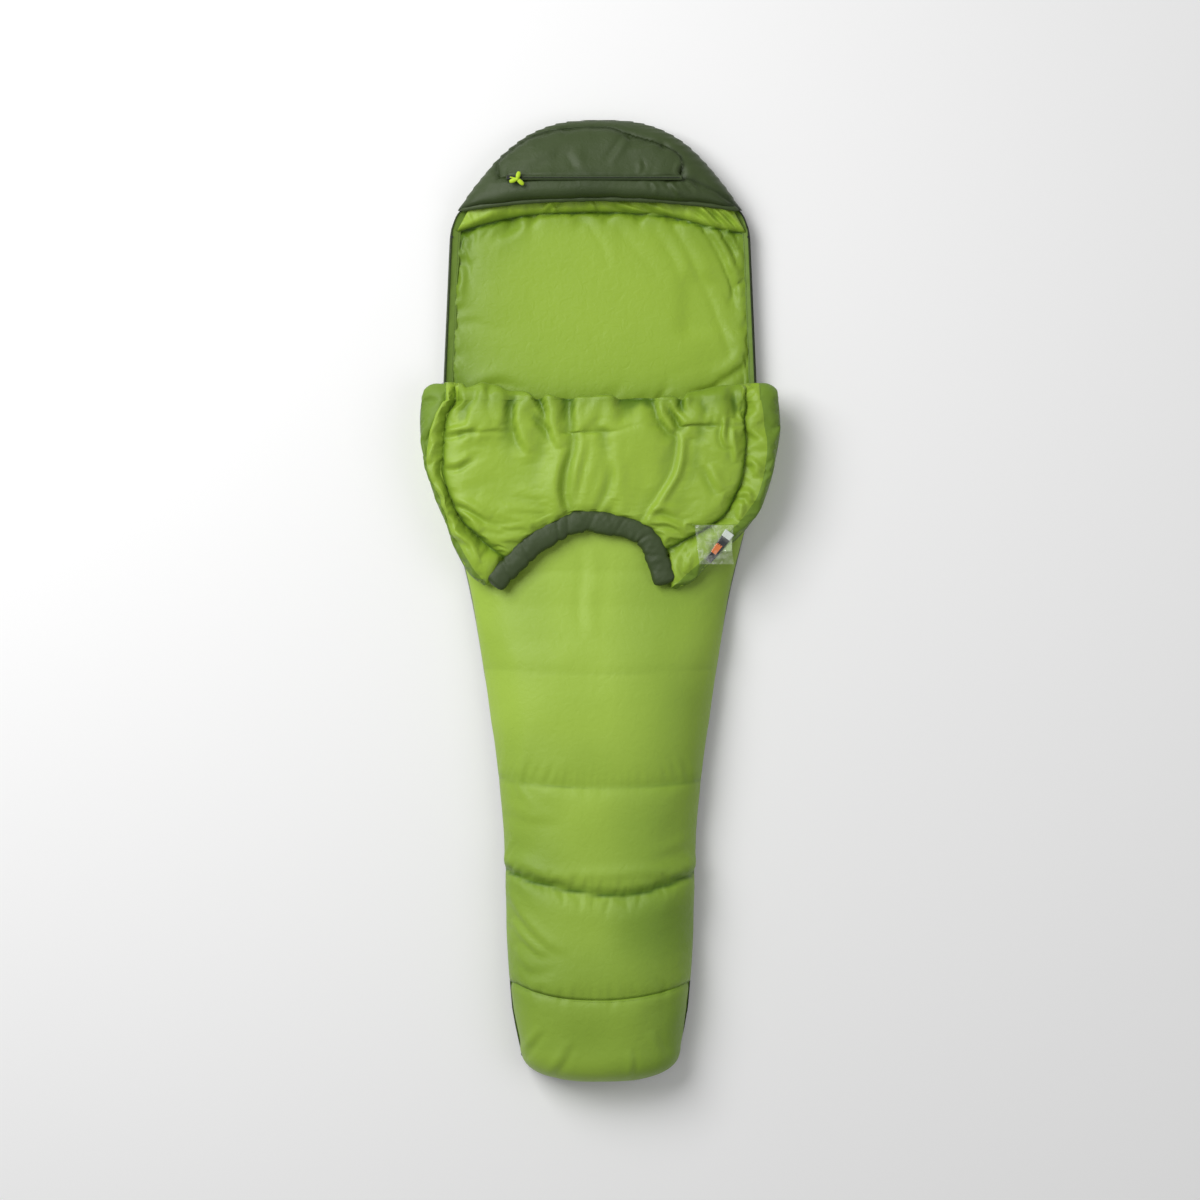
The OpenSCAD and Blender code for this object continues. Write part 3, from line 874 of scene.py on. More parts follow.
@dataclass(frozen=True)
class Repeat:
    """Small pieces set at even steps along a path by a geometry node tree.

    Attributes:
        step: spacing along the path, in metres.
        size: length, width and height of one piece, in metres.
        faces: corners round one piece.
    """

    step: float
    size: tuple[float, float, float]
    faces: int = 6

    def tree(self, name: str, material: bpy.types.Material) -> bpy.types.NodeTree:
        """Builds the tree: path, even points, one small piece on each, and its finish.

        Args:
            name: name of the tree.
            material: finish of the pieces.

        Returns:
            The geometry node tree.
        """
        tree = bpy.data.node_groups.new(name, "GeometryNodeTree")
        tree.interface.new_socket(name="Geometry", in_out="INPUT", socket_type="NodeSocketGeometry")
        for label in ("Step", "Length", "Width", "Height"):
            tree.interface.new_socket(name=label, in_out="INPUT", socket_type="NodeSocketFloat")
        tree.interface.new_socket(name="Geometry", in_out="OUTPUT", socket_type="NodeSocketGeometry")
        g = Graph(tree)
        source, sink = g.add("NodeGroupInput"), g.add("NodeGroupOutput")
        curve = g.add("GeometryNodeMeshToCurve")
        even = g.add("GeometryNodeResampleCurve", mode="LENGTH")
        tangent = g.add("GeometryNodeInputTangent")
        turn = g.add("FunctionNodeAlignRotationToVector", axis="X")
        ball = g.add("GeometryNodeMeshUVSphere")
        ball.inputs["Segments"].default_value = self.faces
        ball.inputs["Rings"].default_value = 4
        ball.inputs["Radius"].default_value = 0.5
        scale = g.add("ShaderNodeCombineXYZ")
        place = g.add("GeometryNodeInstanceOnPoints")
        real = g.add("GeometryNodeRealizeInstances")
        paint = g.add("GeometryNodeSetMaterial")
        paint.inputs["Material"].default_value = material
        g.join(source.outputs["Geometry"], curve.inputs["Mesh"])
        g.join(curve.outputs["Curve"], even.inputs["Curve"])
        g.join(source.outputs["Step"], even.inputs["Length"])
        g.join(tangent.outputs["Tangent"], turn.inputs["Vector"])
        for axis, label in zip("XYZ", ("Length", "Width", "Height")):
            g.join(source.outputs[label], scale.inputs[axis])
        g.join(even.outputs["Curve"], place.inputs["Points"])
        g.join(ball.outputs["Mesh"], place.inputs["Instance"])
        g.join(turn.outputs["Rotation"], place.inputs["Rotation"])
        g.join(scale.outputs["Vector"], place.inputs["Scale"])
        g.join(place.outputs["Instances"], real.inputs["Geometry"])
        g.join(real.outputs["Geometry"], paint.inputs["Geometry"])
        g.join(paint.outputs["Geometry"], sink.inputs[0])
        return tree

    def along(self, name: str, paths: Sequence[Points], material: bpy.types.Material) -> bpy.types.Object:
        """Makes the pieces along one or more paths as one plain mesh.

        Args:
            name: name of the object.
            paths: points of each path, in metres.
            material: finish of the pieces.

        Returns:
            The new object, at the origin.
        """
        points = np.vstack(paths)
        edges: list[tuple[int, int]] = []
        first = 0
        for path in paths:
            edges += [(first + i, first + i + 1) for i in range(len(path) - 1)]
            first += len(path)
        guide_mesh = bpy.data.meshes.new(name + "_guide")
        guide_mesh.from_pydata(points.tolist(), edges, [])
        guide = bpy.data.objects.new(name + "_guide", guide_mesh)
        bpy.context.scene.collection.objects.link(guide)
        modifier = guide.modifiers.new("repeat", "NODES")
        modifier.node_group = self.tree(name + "_tree", material)
        values = dict(zip(("Step", "Length", "Width", "Height"), (self.step, *self.size)))
        for item in modifier.node_group.interface.items_tree:
            if item.item_type == "SOCKET" and item.in_out == "INPUT" and item.name in values:
                modifier[item.identifier] = values[item.name]
        bpy.context.view_layer.update()
        graph = bpy.context.evaluated_depsgraph_get()
        mesh = bpy.data.meshes.new_from_object(guide.evaluated_get(graph), depsgraph=graph)
        mesh.name = name
        bpy.data.objects.remove(guide)
        bpy.data.meshes.remove(guide_mesh)
        mesh.polygons.foreach_set("use_smooth", [True] * len(mesh.polygons))
        thing = bpy.data.objects.new(name, mesh)
        bpy.context.scene.collection.objects.link(thing)
        return thing


STITCH = Repeat(step=3.4 * MM, size=(2.6 * MM, 0.6 * MM, 0.6 * MM))
COIL = Repeat(step=2.1 * MM, size=(1.7 * MM, 4.4 * MM, 4.0 * MM), faces=8)
FINE_COIL = Repeat(step=1.6 * MM, size=(1.3 * MM, 2.4 * MM, 2.2 * MM), faces=8)


def dress(
    thing: bpy.types.Object,
    finish: Cloth | Hard | None,
    body: Body | None,
    replaces: Sequence[str] = (),
) -> bpy.types.Object:
    """Gives a finished piece its material and its body, and hides the CAD nodes that it stands for.

    Args:
        thing: the piece.
        finish: its finish, or None where its mesh already has one.
        body: the body that it rides on, or None to leave it on none, as for a piece between two.
        replaces: CAD nodes that it stands for.

    Returns:
        The piece.
    """
    if finish is not None:
        thing.data.materials.clear()
        thing.data.materials.append(finish.material())
    if body is not None:
        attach(thing, body.value)
    if replaces:
        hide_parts(*replaces)
    log.info("%s: %d faces", thing.name, len(thing.data.polygons))
    return thing


# ---------------------------------------------------------------- the bag

ZIP_LINE = ((344, 436), (336, 620), (328, 800), (325, 822), (318, 843), (306, 861), (290, 874))


@dataclass
class Back:
    """The padded back: a dark shell below and the lime lining that shows in the mouth."""

    outline: Outline = field(default_factory=lambda: Outline("back_shell"))
    seam_z: float = 26 * MM
    lining_z: float = 34 * MM
    columns: int = 125
    rows: int = 300
    cross_seams: tuple[float, ...] = (-865, -624, -405, -158, 90, 330, 570, 810)
    neck_seam: tuple[tuple[float, float], ...] = (
        (-330, 808), (-240, 834), (-159, 849), (-30, 856), (26, 855),
        (121, 850), (182, 839), (255, 820), (336, 808),
    )

    def plan(self) -> tuple[Points, Points]:
        """The grid of points in plan, and their distances from the bag's edge.

        Returns:
            The grid and the distances.
        """
        low, high = self.outline.y[0] + 0.8 * MM, self.outline.y[-1] - 0.8 * MM
        t = np.linspace(0, 1, self.rows)
        y = low + (high - low) * (t - 0.03 * np.sin(2 * np.pi * t) / (2 * np.pi))
        s = np.linspace(-1, 1, self.columns)
        s = 0.6 * s + 0.4 * np.sin(s * np.pi / 2)
        line = smooth_path(ZIP_LINE, 80) * MM
        half = self.outline.half(y)
        narrow = np.interp(y, line[:, 1], line[:, 0] + 4.5 * MM, right=1)
        half = np.where((y > 400 * MM) & (y < 862 * MM), np.minimum(half, narrow), half)
        x = s[None, :] * half[:, None]
        xy = np.dstack([x, np.repeat(y[:, None], self.columns, 1)])
        rim = np.column_stack([self.outline.x, self.outline.y])
        edge, _ = from_path(np.vstack([rim, (rim * [-1, 1])[::-1]]), xy)
        edge[:, 0] = edge[:, -1] = 0
        return xy, edge

    def lining_height(self, xy: Points, edge: Points) -> Points:
        """Height of the lining, with the seam and the gathers at the neck.

        Args:
            xy: the grid in plan.
            edge: distance of each point from the edge.

        Returns:
            Z at each point.
        """
        x, y = xy[..., 0], xy[..., 1]
        z = self.seam_z + (self.lining_z - self.seam_z) * swell(edge, 30 * MM)
        z += 7 * MM * ease(edge / (190 * MM)) * (0.8 + 0.3 * noise(x, y, 260 * MM, 11))
        z += 2.4 * MM * noise(x, y, 95 * MM, 12) * ease(edge / (60 * MM))
        gap, along = from_path(smooth_path(self.neck_seam, 60) * MM, xy)
        z -= 6 * MM * groove(gap, 7 * MM)
        z += 6.5 * MM * puckers(gap, along, 24 * MM, 34 * MM, 21)
        side = ease((850 * MM - y) / (60 * MM)) * ease((edge - 20 * MM) / (10 * MM))
        z += 4.0 * MM * puckers(np.maximum(edge - 24 * MM, 0), y, 21 * MM, 24 * MM, 22) * side
        folds = (
            ([(215, 862), (262, 800), (300, 720), (322, 640)], 10, 8.0),
            ([(255, 858), (292, 800), (318, 745)], 8, 7.0),
            ([(180, 840), (232, 735), (286, 610), (312, 540)], 14, 6.5),
            ([(120, 850), (175, 770), (205, 700)], 13, 4.5),
            ([(40, 854), (92, 790), (150, 730)], 14, 4.5),
            ([(-20, 850), (20, 790), (40, 730)], 12, 3.5),
            ([(-300, 470), (-230, 500), (-170, 490), (-120, 465)], 15, 4.5),
            ([(-318, 800), (-306, 720), (-318, 640)], 9, 4.0),
            ([(-150, 845), (-190, 800), (-240, 770)], 16, 3.0),
            ([(250, 500), (290, 520), (322, 560)], 14, 3.5),
        )
        for points, width, height in folds:
            z += height * MM * crease(xy, points, width * MM)
        return z

    def shell_height(self, xy: Points, edge: Points) -> Points:
        """Height of the underside, with its cross seams.

        Args:
            xy: the grid in plan.
            edge: distance of each point from the edge.

        Returns:
            Z at each point.
        """
        x, y = xy[..., 0], xy[..., 1]
        z = self.seam_z * (1 - swell(edge, 34 * MM))
        for seam in self.cross_seams:
            gap = np.abs(y - seam * MM)
            z += 4 * MM * groove(gap, 9 * MM) * ease(edge / (40 * MM))
            z += 0.9 * MM * (1 + puckers(gap, x, 20 * MM, 28 * MM, int(seam) % 97)) * ease(edge / (40 * MM))
        return np.maximum(z, 0.3 * MM) - 0.3 * MM

    def build(self) -> None:
        """Builds and dresses the shell and the lining."""
        xy, edge = self.plan()
        middle = np.dstack([xy, self.seam_z - 4 * MM * swell(edge, 30 * MM)])
        under = np.dstack([xy, self.shell_height(xy, edge)])
        over = np.dstack([xy, self.lining_height(xy, edge)])
        shell = closed_sheet("back_shell_quilt", middle, under)
        dress(shell, HOOD_OLIVE, Body.BAG, ("back_shell", "back_insulation"))
        base = middle.copy()
        base[..., 2] += 0.4 * MM
        inset = 1 - 2.5 * MM / np.maximum(self.outline.half(xy[..., 1]), 30 * MM)
        over[..., 0] *= inset
        base[..., 0] *= inset
        seen = slice(*np.searchsorted(xy[:, 0, 1], (425 * MM, 872 * MM)))
        part, part_xy = over[seen], xy[seen]
        gap, _ = from_path(smooth_path(self.neck_seam, 60) * MM, part_xy)
        pinned = (gap < 2.5 * MM) | (edge[seen] < 20 * MM)
        pinned[[0, -1]] = True
        loose = np.clip(0.25 + np.exp(-gap / (70 * MM)) + 0.5 * (part_xy[..., 0] > 170 * MM), 0, 1)
        over[seen] = Stuffing(slack=(0.0, 0.07), cap=7 * MM).settle(part, base[seen], pinned, loose)
        x, y = xy[..., 0], xy[..., 1]
        aside = np.hypot(
            np.maximum(np.abs(x - 249 * MM) - 48 * MM, 0),
            np.maximum(np.abs(y - 650 * MM) - 40 * MM, 0),
        )
        over[..., 2] = soft_top(over[..., 2], 38.5 * MM + 9 * MM * ease(aside / (50 * MM)))
        # Painted shade on the lining: darker near the edges and towards the left, in a broad uneven band
        # round the neck seam with a dark line on it, and just above the fold under the flap's edge.
        gap, _ = near_path(smooth_path(self.neck_seam, 60) * MM, xy)
        pinch_depth_and_painted_shade = 0.42 * np.exp(-np.maximum(edge - 14 * MM, 0) / (46 * MM))
        pinch_depth_and_painted_shade += 0.22 * ease((-x - 90 * MM) / (220 * MM))
        pinch_depth_and_painted_shade += 0.40 * np.exp(-np.abs(gap) / (45 * MM)) * (0.8 + 0.5 * noise(x, y, 60 * MM, 14))
        pinch_depth_and_painted_shade += 0.9 * np.exp(-((gap / (2.6 * MM)) ** 2))
        pinch_depth_and_painted_shade += 0.35 * np.exp(-np.maximum(y - 436 * MM, 0) / (40 * MM))
        lining = closed_sheet("back_lining_quilt", over, base, pinch_depth_and_painted_shade=pinch_depth_and_painted_shade)
        dress(lining, LINING_LIME, Body.BAG, ("back_lining",))
        self.baffle()

    def baffle(self) -> None:
        """Builds the gathered band of lining between the neck seam and the hood."""
        seam = smooth_path(self.neck_seam, 190)[4:-4] * MM
        seam[:, 1] += 1 * MM
        across = seam[:, 0] / (322 * MM)
        t = np.linspace(0, 1, 40)[:, None]
        x = seam[:, 0] * (1 - 0.12 * np.abs(across) * t)
        y = seam[:, 1] + ((900 - 22 * across**2) * MM - seam[:, 1]) * t
        ends = swell(1.02 - np.abs(across), 0.30, 2.0)
        wall = np.sqrt(1 - (1 - np.clip(t * 4, 0, 1)) ** 2)
        gather = noise(x, y * 0.3, 17 * MM, 25) + 0.6 * noise(x + 0.5 * (y - 0.85), y * 0.3, 9 * MM, 26)
        z = 35 * MM + (18 * wall + 16 * t) * MM * (0.25 + 0.75 * ends)
        z += 2.6 * MM * gather * np.sin(np.pi * np.clip(t, 0.05, 1)) ** 0.5
        rows = np.dstack([x, y, z])
        folds = (
            ([(-125, 846), (-118, 866), (-96, 882)], 7, 6.0),
            ([(-98, 850), (-104, 866), (-122, 882)], 6, 5.0),
            ([(-16, 852), (-14, 866), (-34, 884)], 7, 5.0),
            ([(20, 880), (60, 866), (110, 852)], 7, 6.0),
            ([(70, 880), (120, 866), (176, 842)], 7, 5.0),
            ([(200, 876), (238, 850), (262, 822)], 7, 7.0),
            ([(232, 874), (268, 846), (300, 814)], 6, 7.0),
            ([(262, 870), (296, 840), (318, 812)], 6, 6.0),
            ([(-300, 822), (-240, 852), (-180, 868)], 10, 3.5),
        )
        for points, width, height in folds:
            rows[..., 2] += 1.3 * height * MM * crease(rows[..., :2], points, width * MM)
        bottom = rows.copy()
        bottom[..., 2] = 32 * MM
        # Painted shade on the band: a painted shadow under the hood's brim, a dark line at the neck seam and
        # darker valleys between the gathers.
        under_brim = (rows[..., 1] - (866 + 14 * (1 - across**2)) * MM) / (14 * MM)
        pinch_depth_and_painted_shade = 0.55 * ease(0.5 + under_brim) + 0.5 * np.exp(-t / 0.05) + 0.25 * np.clip(-gather, 0, 1)
        band = closed_sheet("neck_baffle_quilt", rows, bottom, pinch_depth_and_painted_shade=pinch_depth_and_painted_shade)
        dress(band, LINING_LIME, Body.BAG, ("neck_baffle",))


def arch(half: Points, height: Points, base: float, turn: Points, power: float) -> tuple[Points, Points]:
    """X and Z of an arched section.

    Args:
        half: half width of each row.
        height: height of each row.
        base: height of the ground of the arch.
        turn: position across, from -1 to 1.
        power: squareness of the arch; 1 is round.

    Returns:
        X and Z, rows by columns.
    """
    angle = np.linspace(0, np.pi, 721)
    across = np.sign(np.cos(angle)) * np.abs(np.cos(angle)) ** power
    unit = np.column_stack([across, 0.4 * np.sin(angle) ** power])
    run = run_along(unit)
    at = (1 + turn) / 2 * run[-1]
    x = -np.interp(at, run, unit[:, 0])
    z = np.interp(at, run, unit[:, 1]) / 0.4
    return half[:, None] * x[None, :], base + height[:, None] * z[None, :]


@dataclass
class Top:
    """The padded top of the body and the footbox, seam by seam."""

    outline: Outline = field(default_factory=lambda: Outline("top_shell"))
    foot: Outline = field(default_factory=lambda: Outline("footbox_shell"))
    back: Outline = field(default_factory=lambda: Outline("back_shell"))
    base_z: float = 31 * MM
    wall: float = 22 * MM
    depth: float = 33 * MM
    columns: int = 115
    foot_seam_y: float = -872 * MM
    foot_seam_rise: float = 30 * MM
    front_limit: float = 431 * MM

    def seams(self) -> list[tuple[Points, float, float]]:
        """The cross seams: path in plan, depth and reach of the puckers.

        Returns:
            One entry for each seam, from the fold to the foot.
        """
        reach = 260
        lines = (
            ([(-reach, -150), (0, -160), (reach, -150)], 1.0, 0.6),
            ([(-reach, -390), (0, -412), (reach, -396)], 3.2, 0.8),
            ([(-reach, -574), (-140, -618), (0, -643), (90, -640), (reach, -584)], 10.0, 2.6),
        )
        return [(smooth_path(p, 60) * MM, depth * MM, pucker * MM) for p, depth, pucker in lines]

    def foot_seam(self, x: Points) -> Points:
        """Y of the seam between the body and the footbox."""
        return self.foot_seam_y + self.foot_seam_rise * np.clip(np.abs(x) / (190 * MM), 0, 1) ** 2

    def body_rows(self) -> Points:
        """The outer surface of the body, from the fold to the footbox seam.

        Returns:
            The grid of points.
        """
        front = min(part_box("top_shell")[1][1], self.front_limit)
        turn = np.linspace(-1, 1, self.columns)
        t = np.linspace(0, 1, 184)
        y0 = front + (self.foot_seam_y - front) * t
        half = self.outline.half(np.maximum(y0, self.outline.y[0]))
        crown = self.outline.top(np.maximum(y0, self.outline.y[0])) - self.base_z
        x, z = arch(half, crown, self.base_z, turn, 0.72)
        share = np.clip((z - self.base_z) / crown[:, None], 0, 1)
        narrow = self.back.half(y0) / half
        x *= narrow[:, None] + (1 - narrow[:, None]) * ease(share / 0.45)
        seam = self.foot_seam(x[-1])
        y = y0[:, None] + (seam - self.foot_seam_y)[None, :] * ease(t)[:, None] ** 3
        return np.dstack([x, y, z])

    def sculpt(self, rows: Points) -> Points:
        """Adds loft, seams, puckers and soft folds to the body's outer surface.

        Args:
            rows: the smooth surface.

        Returns:
            The sculpted surface.
        """
        xy = rows[..., :2]
        x, y = rows[..., 0], rows[..., 1]
        share = np.clip((rows[..., 2] - self.base_z) / (60 * MM), 0, 1)
        free = ease((20 * MM - y) / (110 * MM))
        lift = free * (3.0 * MM * noise(x, y, 210 * MM, 31) + 1.6 * MM * noise(x, y, 80 * MM, 32))
        for path, depth, pucker in self.seams():
            gap, along = from_path(path, xy)
            side, _ = near_path(path, xy)
            lift -= depth * groove(gap, 7 * MM) * free
            lift += 0.55 * depth * np.exp(-(((side - 22 * MM) / (20 * MM)) ** 2)) * free
            lift += 0.25 * depth * np.exp(-(((side + 40 * MM) / (30 * MM)) ** 2)) * free
            lift += pucker * puckers(gap, along, 11 * MM, 12 * MM, int(depth / MM * 10) + 5) * free
        gap = np.abs(y - self.foot_seam(x))
        lift -= 5 * MM * groove(gap, 8 * MM)
        lift += 1.6 * MM * puckers(gap, x, 16 * MM, 24 * MM, 41)
        folds = (
            ([(-198, -640), (-160, -700), (-110, -745), (-70, -765)], 11, 4.5),
            ([(-196, -700), (-160, -745), (-120, -775)], 9, 3.5),
            ([(-190, -760), (-160, -795), (-130, -815)], 9, 2.6),
            ([(-190, -560), (-120, -600), (-60, -612)], 10, 3.2),
            ([(-60, -600), (40, -596), (150, -585)], 13, 4.0),
            ([(100, -560), (160, -540), (196, -520)], 12, 1.8),
            ([(-210, -450), (-150, -470), (-90, -470)], 14, 1.6),
            ([(-20, 120), (-14, 60), (-22, 0), (-16, -80)], 16, 2.5),
        )
        for points, width, height in folds:
            lift += height * MM * crease(xy, points, width * MM)
        lift *= 0.15 + 0.85 * ease(share / 0.6)
        lift += 2.4 * MM * (1 - share) * (1 + 0.5 * noise(y, rows[..., 2], 60 * MM, 43)) * free
        return rows + outward(rows) * lift[..., None]

    def painted_shade(self, rows: Points) -> Points:
        """Painted shade at each point, from 0 to 1: darker on the right, towards the foot and at the lower
        left, in and beside the cross seams and on the footbox seam, with a little random variation.

        Args:
            rows: the grid of points.

        Returns:
            The painted shade at each point.
        """
        x, y = rows[..., 0], rows[..., 1]
        pinch_depth_and_painted_shade = 0.30 * ease((x + 20 * MM) / (190 * MM)) + 0.34 * ease((-y - 250 * MM) / (420 * MM))
        pinch_depth_and_painted_shade += 0.10 * ease((-x - 60 * MM) / (140 * MM)) * ease((-y - 100 * MM) / (300 * MM))
        for (path, _, _), dark in zip(self.seams(), (0.07, 0.2, 0.75)):
            gap, _ = near_path(path, rows[..., :2])
            pinch_depth_and_painted_shade += dark * np.exp(-((gap / (2.8 * MM)) ** 2))
            pinch_depth_and_painted_shade += 0.35 * dark * np.exp(-(((gap - 9 * MM) / (9 * MM)) ** 2))
        gap = y - self.foot_seam(x)
        pinch_depth_and_painted_shade += 0.15 * np.exp(-((gap / (2.8 * MM)) ** 2))
        return np.clip(pinch_depth_and_painted_shade - 0.12 * noise(x, y, 120 * MM, 44), 0, 1)

    def settle(self, rows: Points, inside: Points) -> Points:
        """Lets the outer surface settle between its seams.

        Args:
            rows: the grid of points.
            inside: the inner grid.

        Returns:
            The settled grid.
        """
        xy = rows[..., :2]
        gaps = [from_path(path, xy)[0] for path, _, _ in self.seams()[1:]]
        gaps.append(np.abs(xy[..., 1] - self.foot_seam(xy[..., 0])))
        near = np.minimum.reduce(gaps)
        pinned = (near < 3 * MM) | (xy[..., 1] > 60 * MM)
        pinned[:, [0, 1, -2, -1]] = True
        pinned[[0, -1]] = True
        amounts = zip(gaps, (0.12, 0.6, 0.3))
        loose = np.maximum.reduce([much * np.exp(-gap / (34 * MM)) for gap, much in amounts])
        settled = Stuffing(slack=(0.0, 0.06), cap=6 * MM).settle(rows, inside, pinned, loose)
        flank = ease((rows[..., 2:] - self.base_z) / (45 * MM))
        return rows + (settled - rows) * (0.1 + 0.9 * flank)

    def sew(self, rows: Points, end: Points) -> None:
        """Sets the stitches along the cross seams.

        Args:
            rows: the grid of the body.
            end: the grid of the footbox.
        """
        paths = []
        for path, _, _ in self.seams()[1:]:
            half = self.outline.half(path[:, 1]) - 16 * MM
            paths.append(on_surface(rows, path[np.abs(path[:, 0]) < half], 0.6 * MM))
        x = np.linspace(-165, 165, 70) * MM
        paths.append(on_surface(end, np.column_stack([x, self.foot_seam(x) - 4 * MM]), 0.6 * MM))
        dress(STITCH.along("body_seam_stitches", paths, THREAD_LIME.material()), None, Body.BAG)

    def foot_rows(self) -> Points:
        """The outer surface of the footbox, from its seam to its end.

        Returns:
            The grid of points.
        """
        turn = np.linspace(-1, 1, self.columns)
        straight = np.linspace(self.foot_seam_y, -985 * MM, 28, endpoint=False)
        bend = np.linspace(0, 0.985, 30) * np.pi / 2
        y0 = np.r_[straight, -985 * MM - 74 * MM * np.sin(bend) ** 0.8]
        half = np.r_[self.foot.half(straight), 178 * MM * np.cos(bend) ** 0.74]
        half *= 1 - 0.02 * np.linspace(0, 1, len(y0))
        tall = self.foot.top(self.foot_seam_y) - self.base_z
        level = np.linspace(tall, 108 * MM, 28, endpoint=False)
        crown = np.r_[level, 108 * MM * np.cos(bend) ** 0.62]
        x, z = arch(half, crown, self.base_z, turn, 0.72)
        seam = self.foot_seam(x[0])
        t = np.linspace(0, 1, len(y0))
        y = y0[:, None] + (seam - self.foot_seam_y)[None, :] * (1 - ease(t * 1.6))[:, None]
        rows = np.dstack([x, y, z])
        gap = np.abs(rows[..., 1] - self.foot_seam(rows[..., 0]))
        lift = -6 * MM * groove(gap, 8 * MM) + 2.4 * MM * puckers(gap, rows[..., 0], 16 * MM, 24 * MM, 41)
        uneven = noise(rows[..., 0], rows[..., 1] + rows[..., 2], 85 * MM, 51)
        lift += 2.6 * MM * uneven * ease(gap / (40 * MM))
        for points, width, height in (
            ([(-180, -1000), (-150, -960), (-130, -930)], 10, 3.5),
            ([(-120, -1040), (-90, -1000), (-70, -960)], 12, 3.0),
            ([(60, -1046), (66, -1010), (60, -980)], 9, 2.5),
            ([(140, -1010), (120, -970), (112, -940)], 12, 2.5),
        ):
            lift += height * MM * crease(rows[..., :2], points, width * MM)
        end = ease((1 - t) * 6)[:, None]
        return rows + outward(rows) * (lift * end)[..., None]

    def inner(self, rows: Points, share: float) -> Points:
        """A surface inside the padding, share of the way to its inner face.

        Args:
            rows: the outer grid.
            share: 0 at the outer face and 1 at the inner one.

        Returns:
            The inner grid.
        """
        inside = rows.copy()
        height = np.maximum(rows[..., 2] - self.base_z, 0)
        crown = np.maximum(height.max(axis=1, keepdims=True), 1e-4)
        half = np.maximum(np.abs(rows[..., 0]).max(axis=1, keepdims=True), 1e-4)
        inside[..., 0] *= np.clip(1 - share * self.wall / half, 0.05, 1)
        inside[..., 2] = self.base_z + 1 * MM + height * np.clip(1 - share * self.depth / crown, 0.02, 1)
        return inside

    def build(self) -> None:
        """Builds and dresses the body and the footbox, shell and lining."""
        smooth = self.body_rows()
        rows = self.settle(self.sculpt(smooth), self.inner(smooth, 0.5))
        body = rows
        shell = closed_sheet("top_shell_quilt", rows, self.inner(smooth, 0.5), pinch_depth_and_painted_shade=self.painted_shade(rows))
        dress(shell, SHELL_LIME, Body.BAG, ("top_shell", "top_insulation"))
        lining = closed_sheet("top_lining_quilt", self.inner(smooth, 0.52), self.inner(smooth, 1.0))
        dress(lining, LINING_LIME, Body.BAG, ("top_lining",))
        rows = self.foot_rows()
        self.sew(body, rows)
        shell = closed_sheet("footbox_shell_quilt", rows, self.inner(rows, 0.5), pinch_depth_and_painted_shade=self.painted_shade(rows))
        dress(shell, SHELL_LIME, Body.BAG, ("footbox_shell", "footbox_insulation"))
        lining = closed_sheet("footbox_lining_quilt", self.inner(rows, 0.52), self.inner(rows, 1.0))
        dress(lining, LINING_LIME, Body.BAG, ("footbox_lining",))


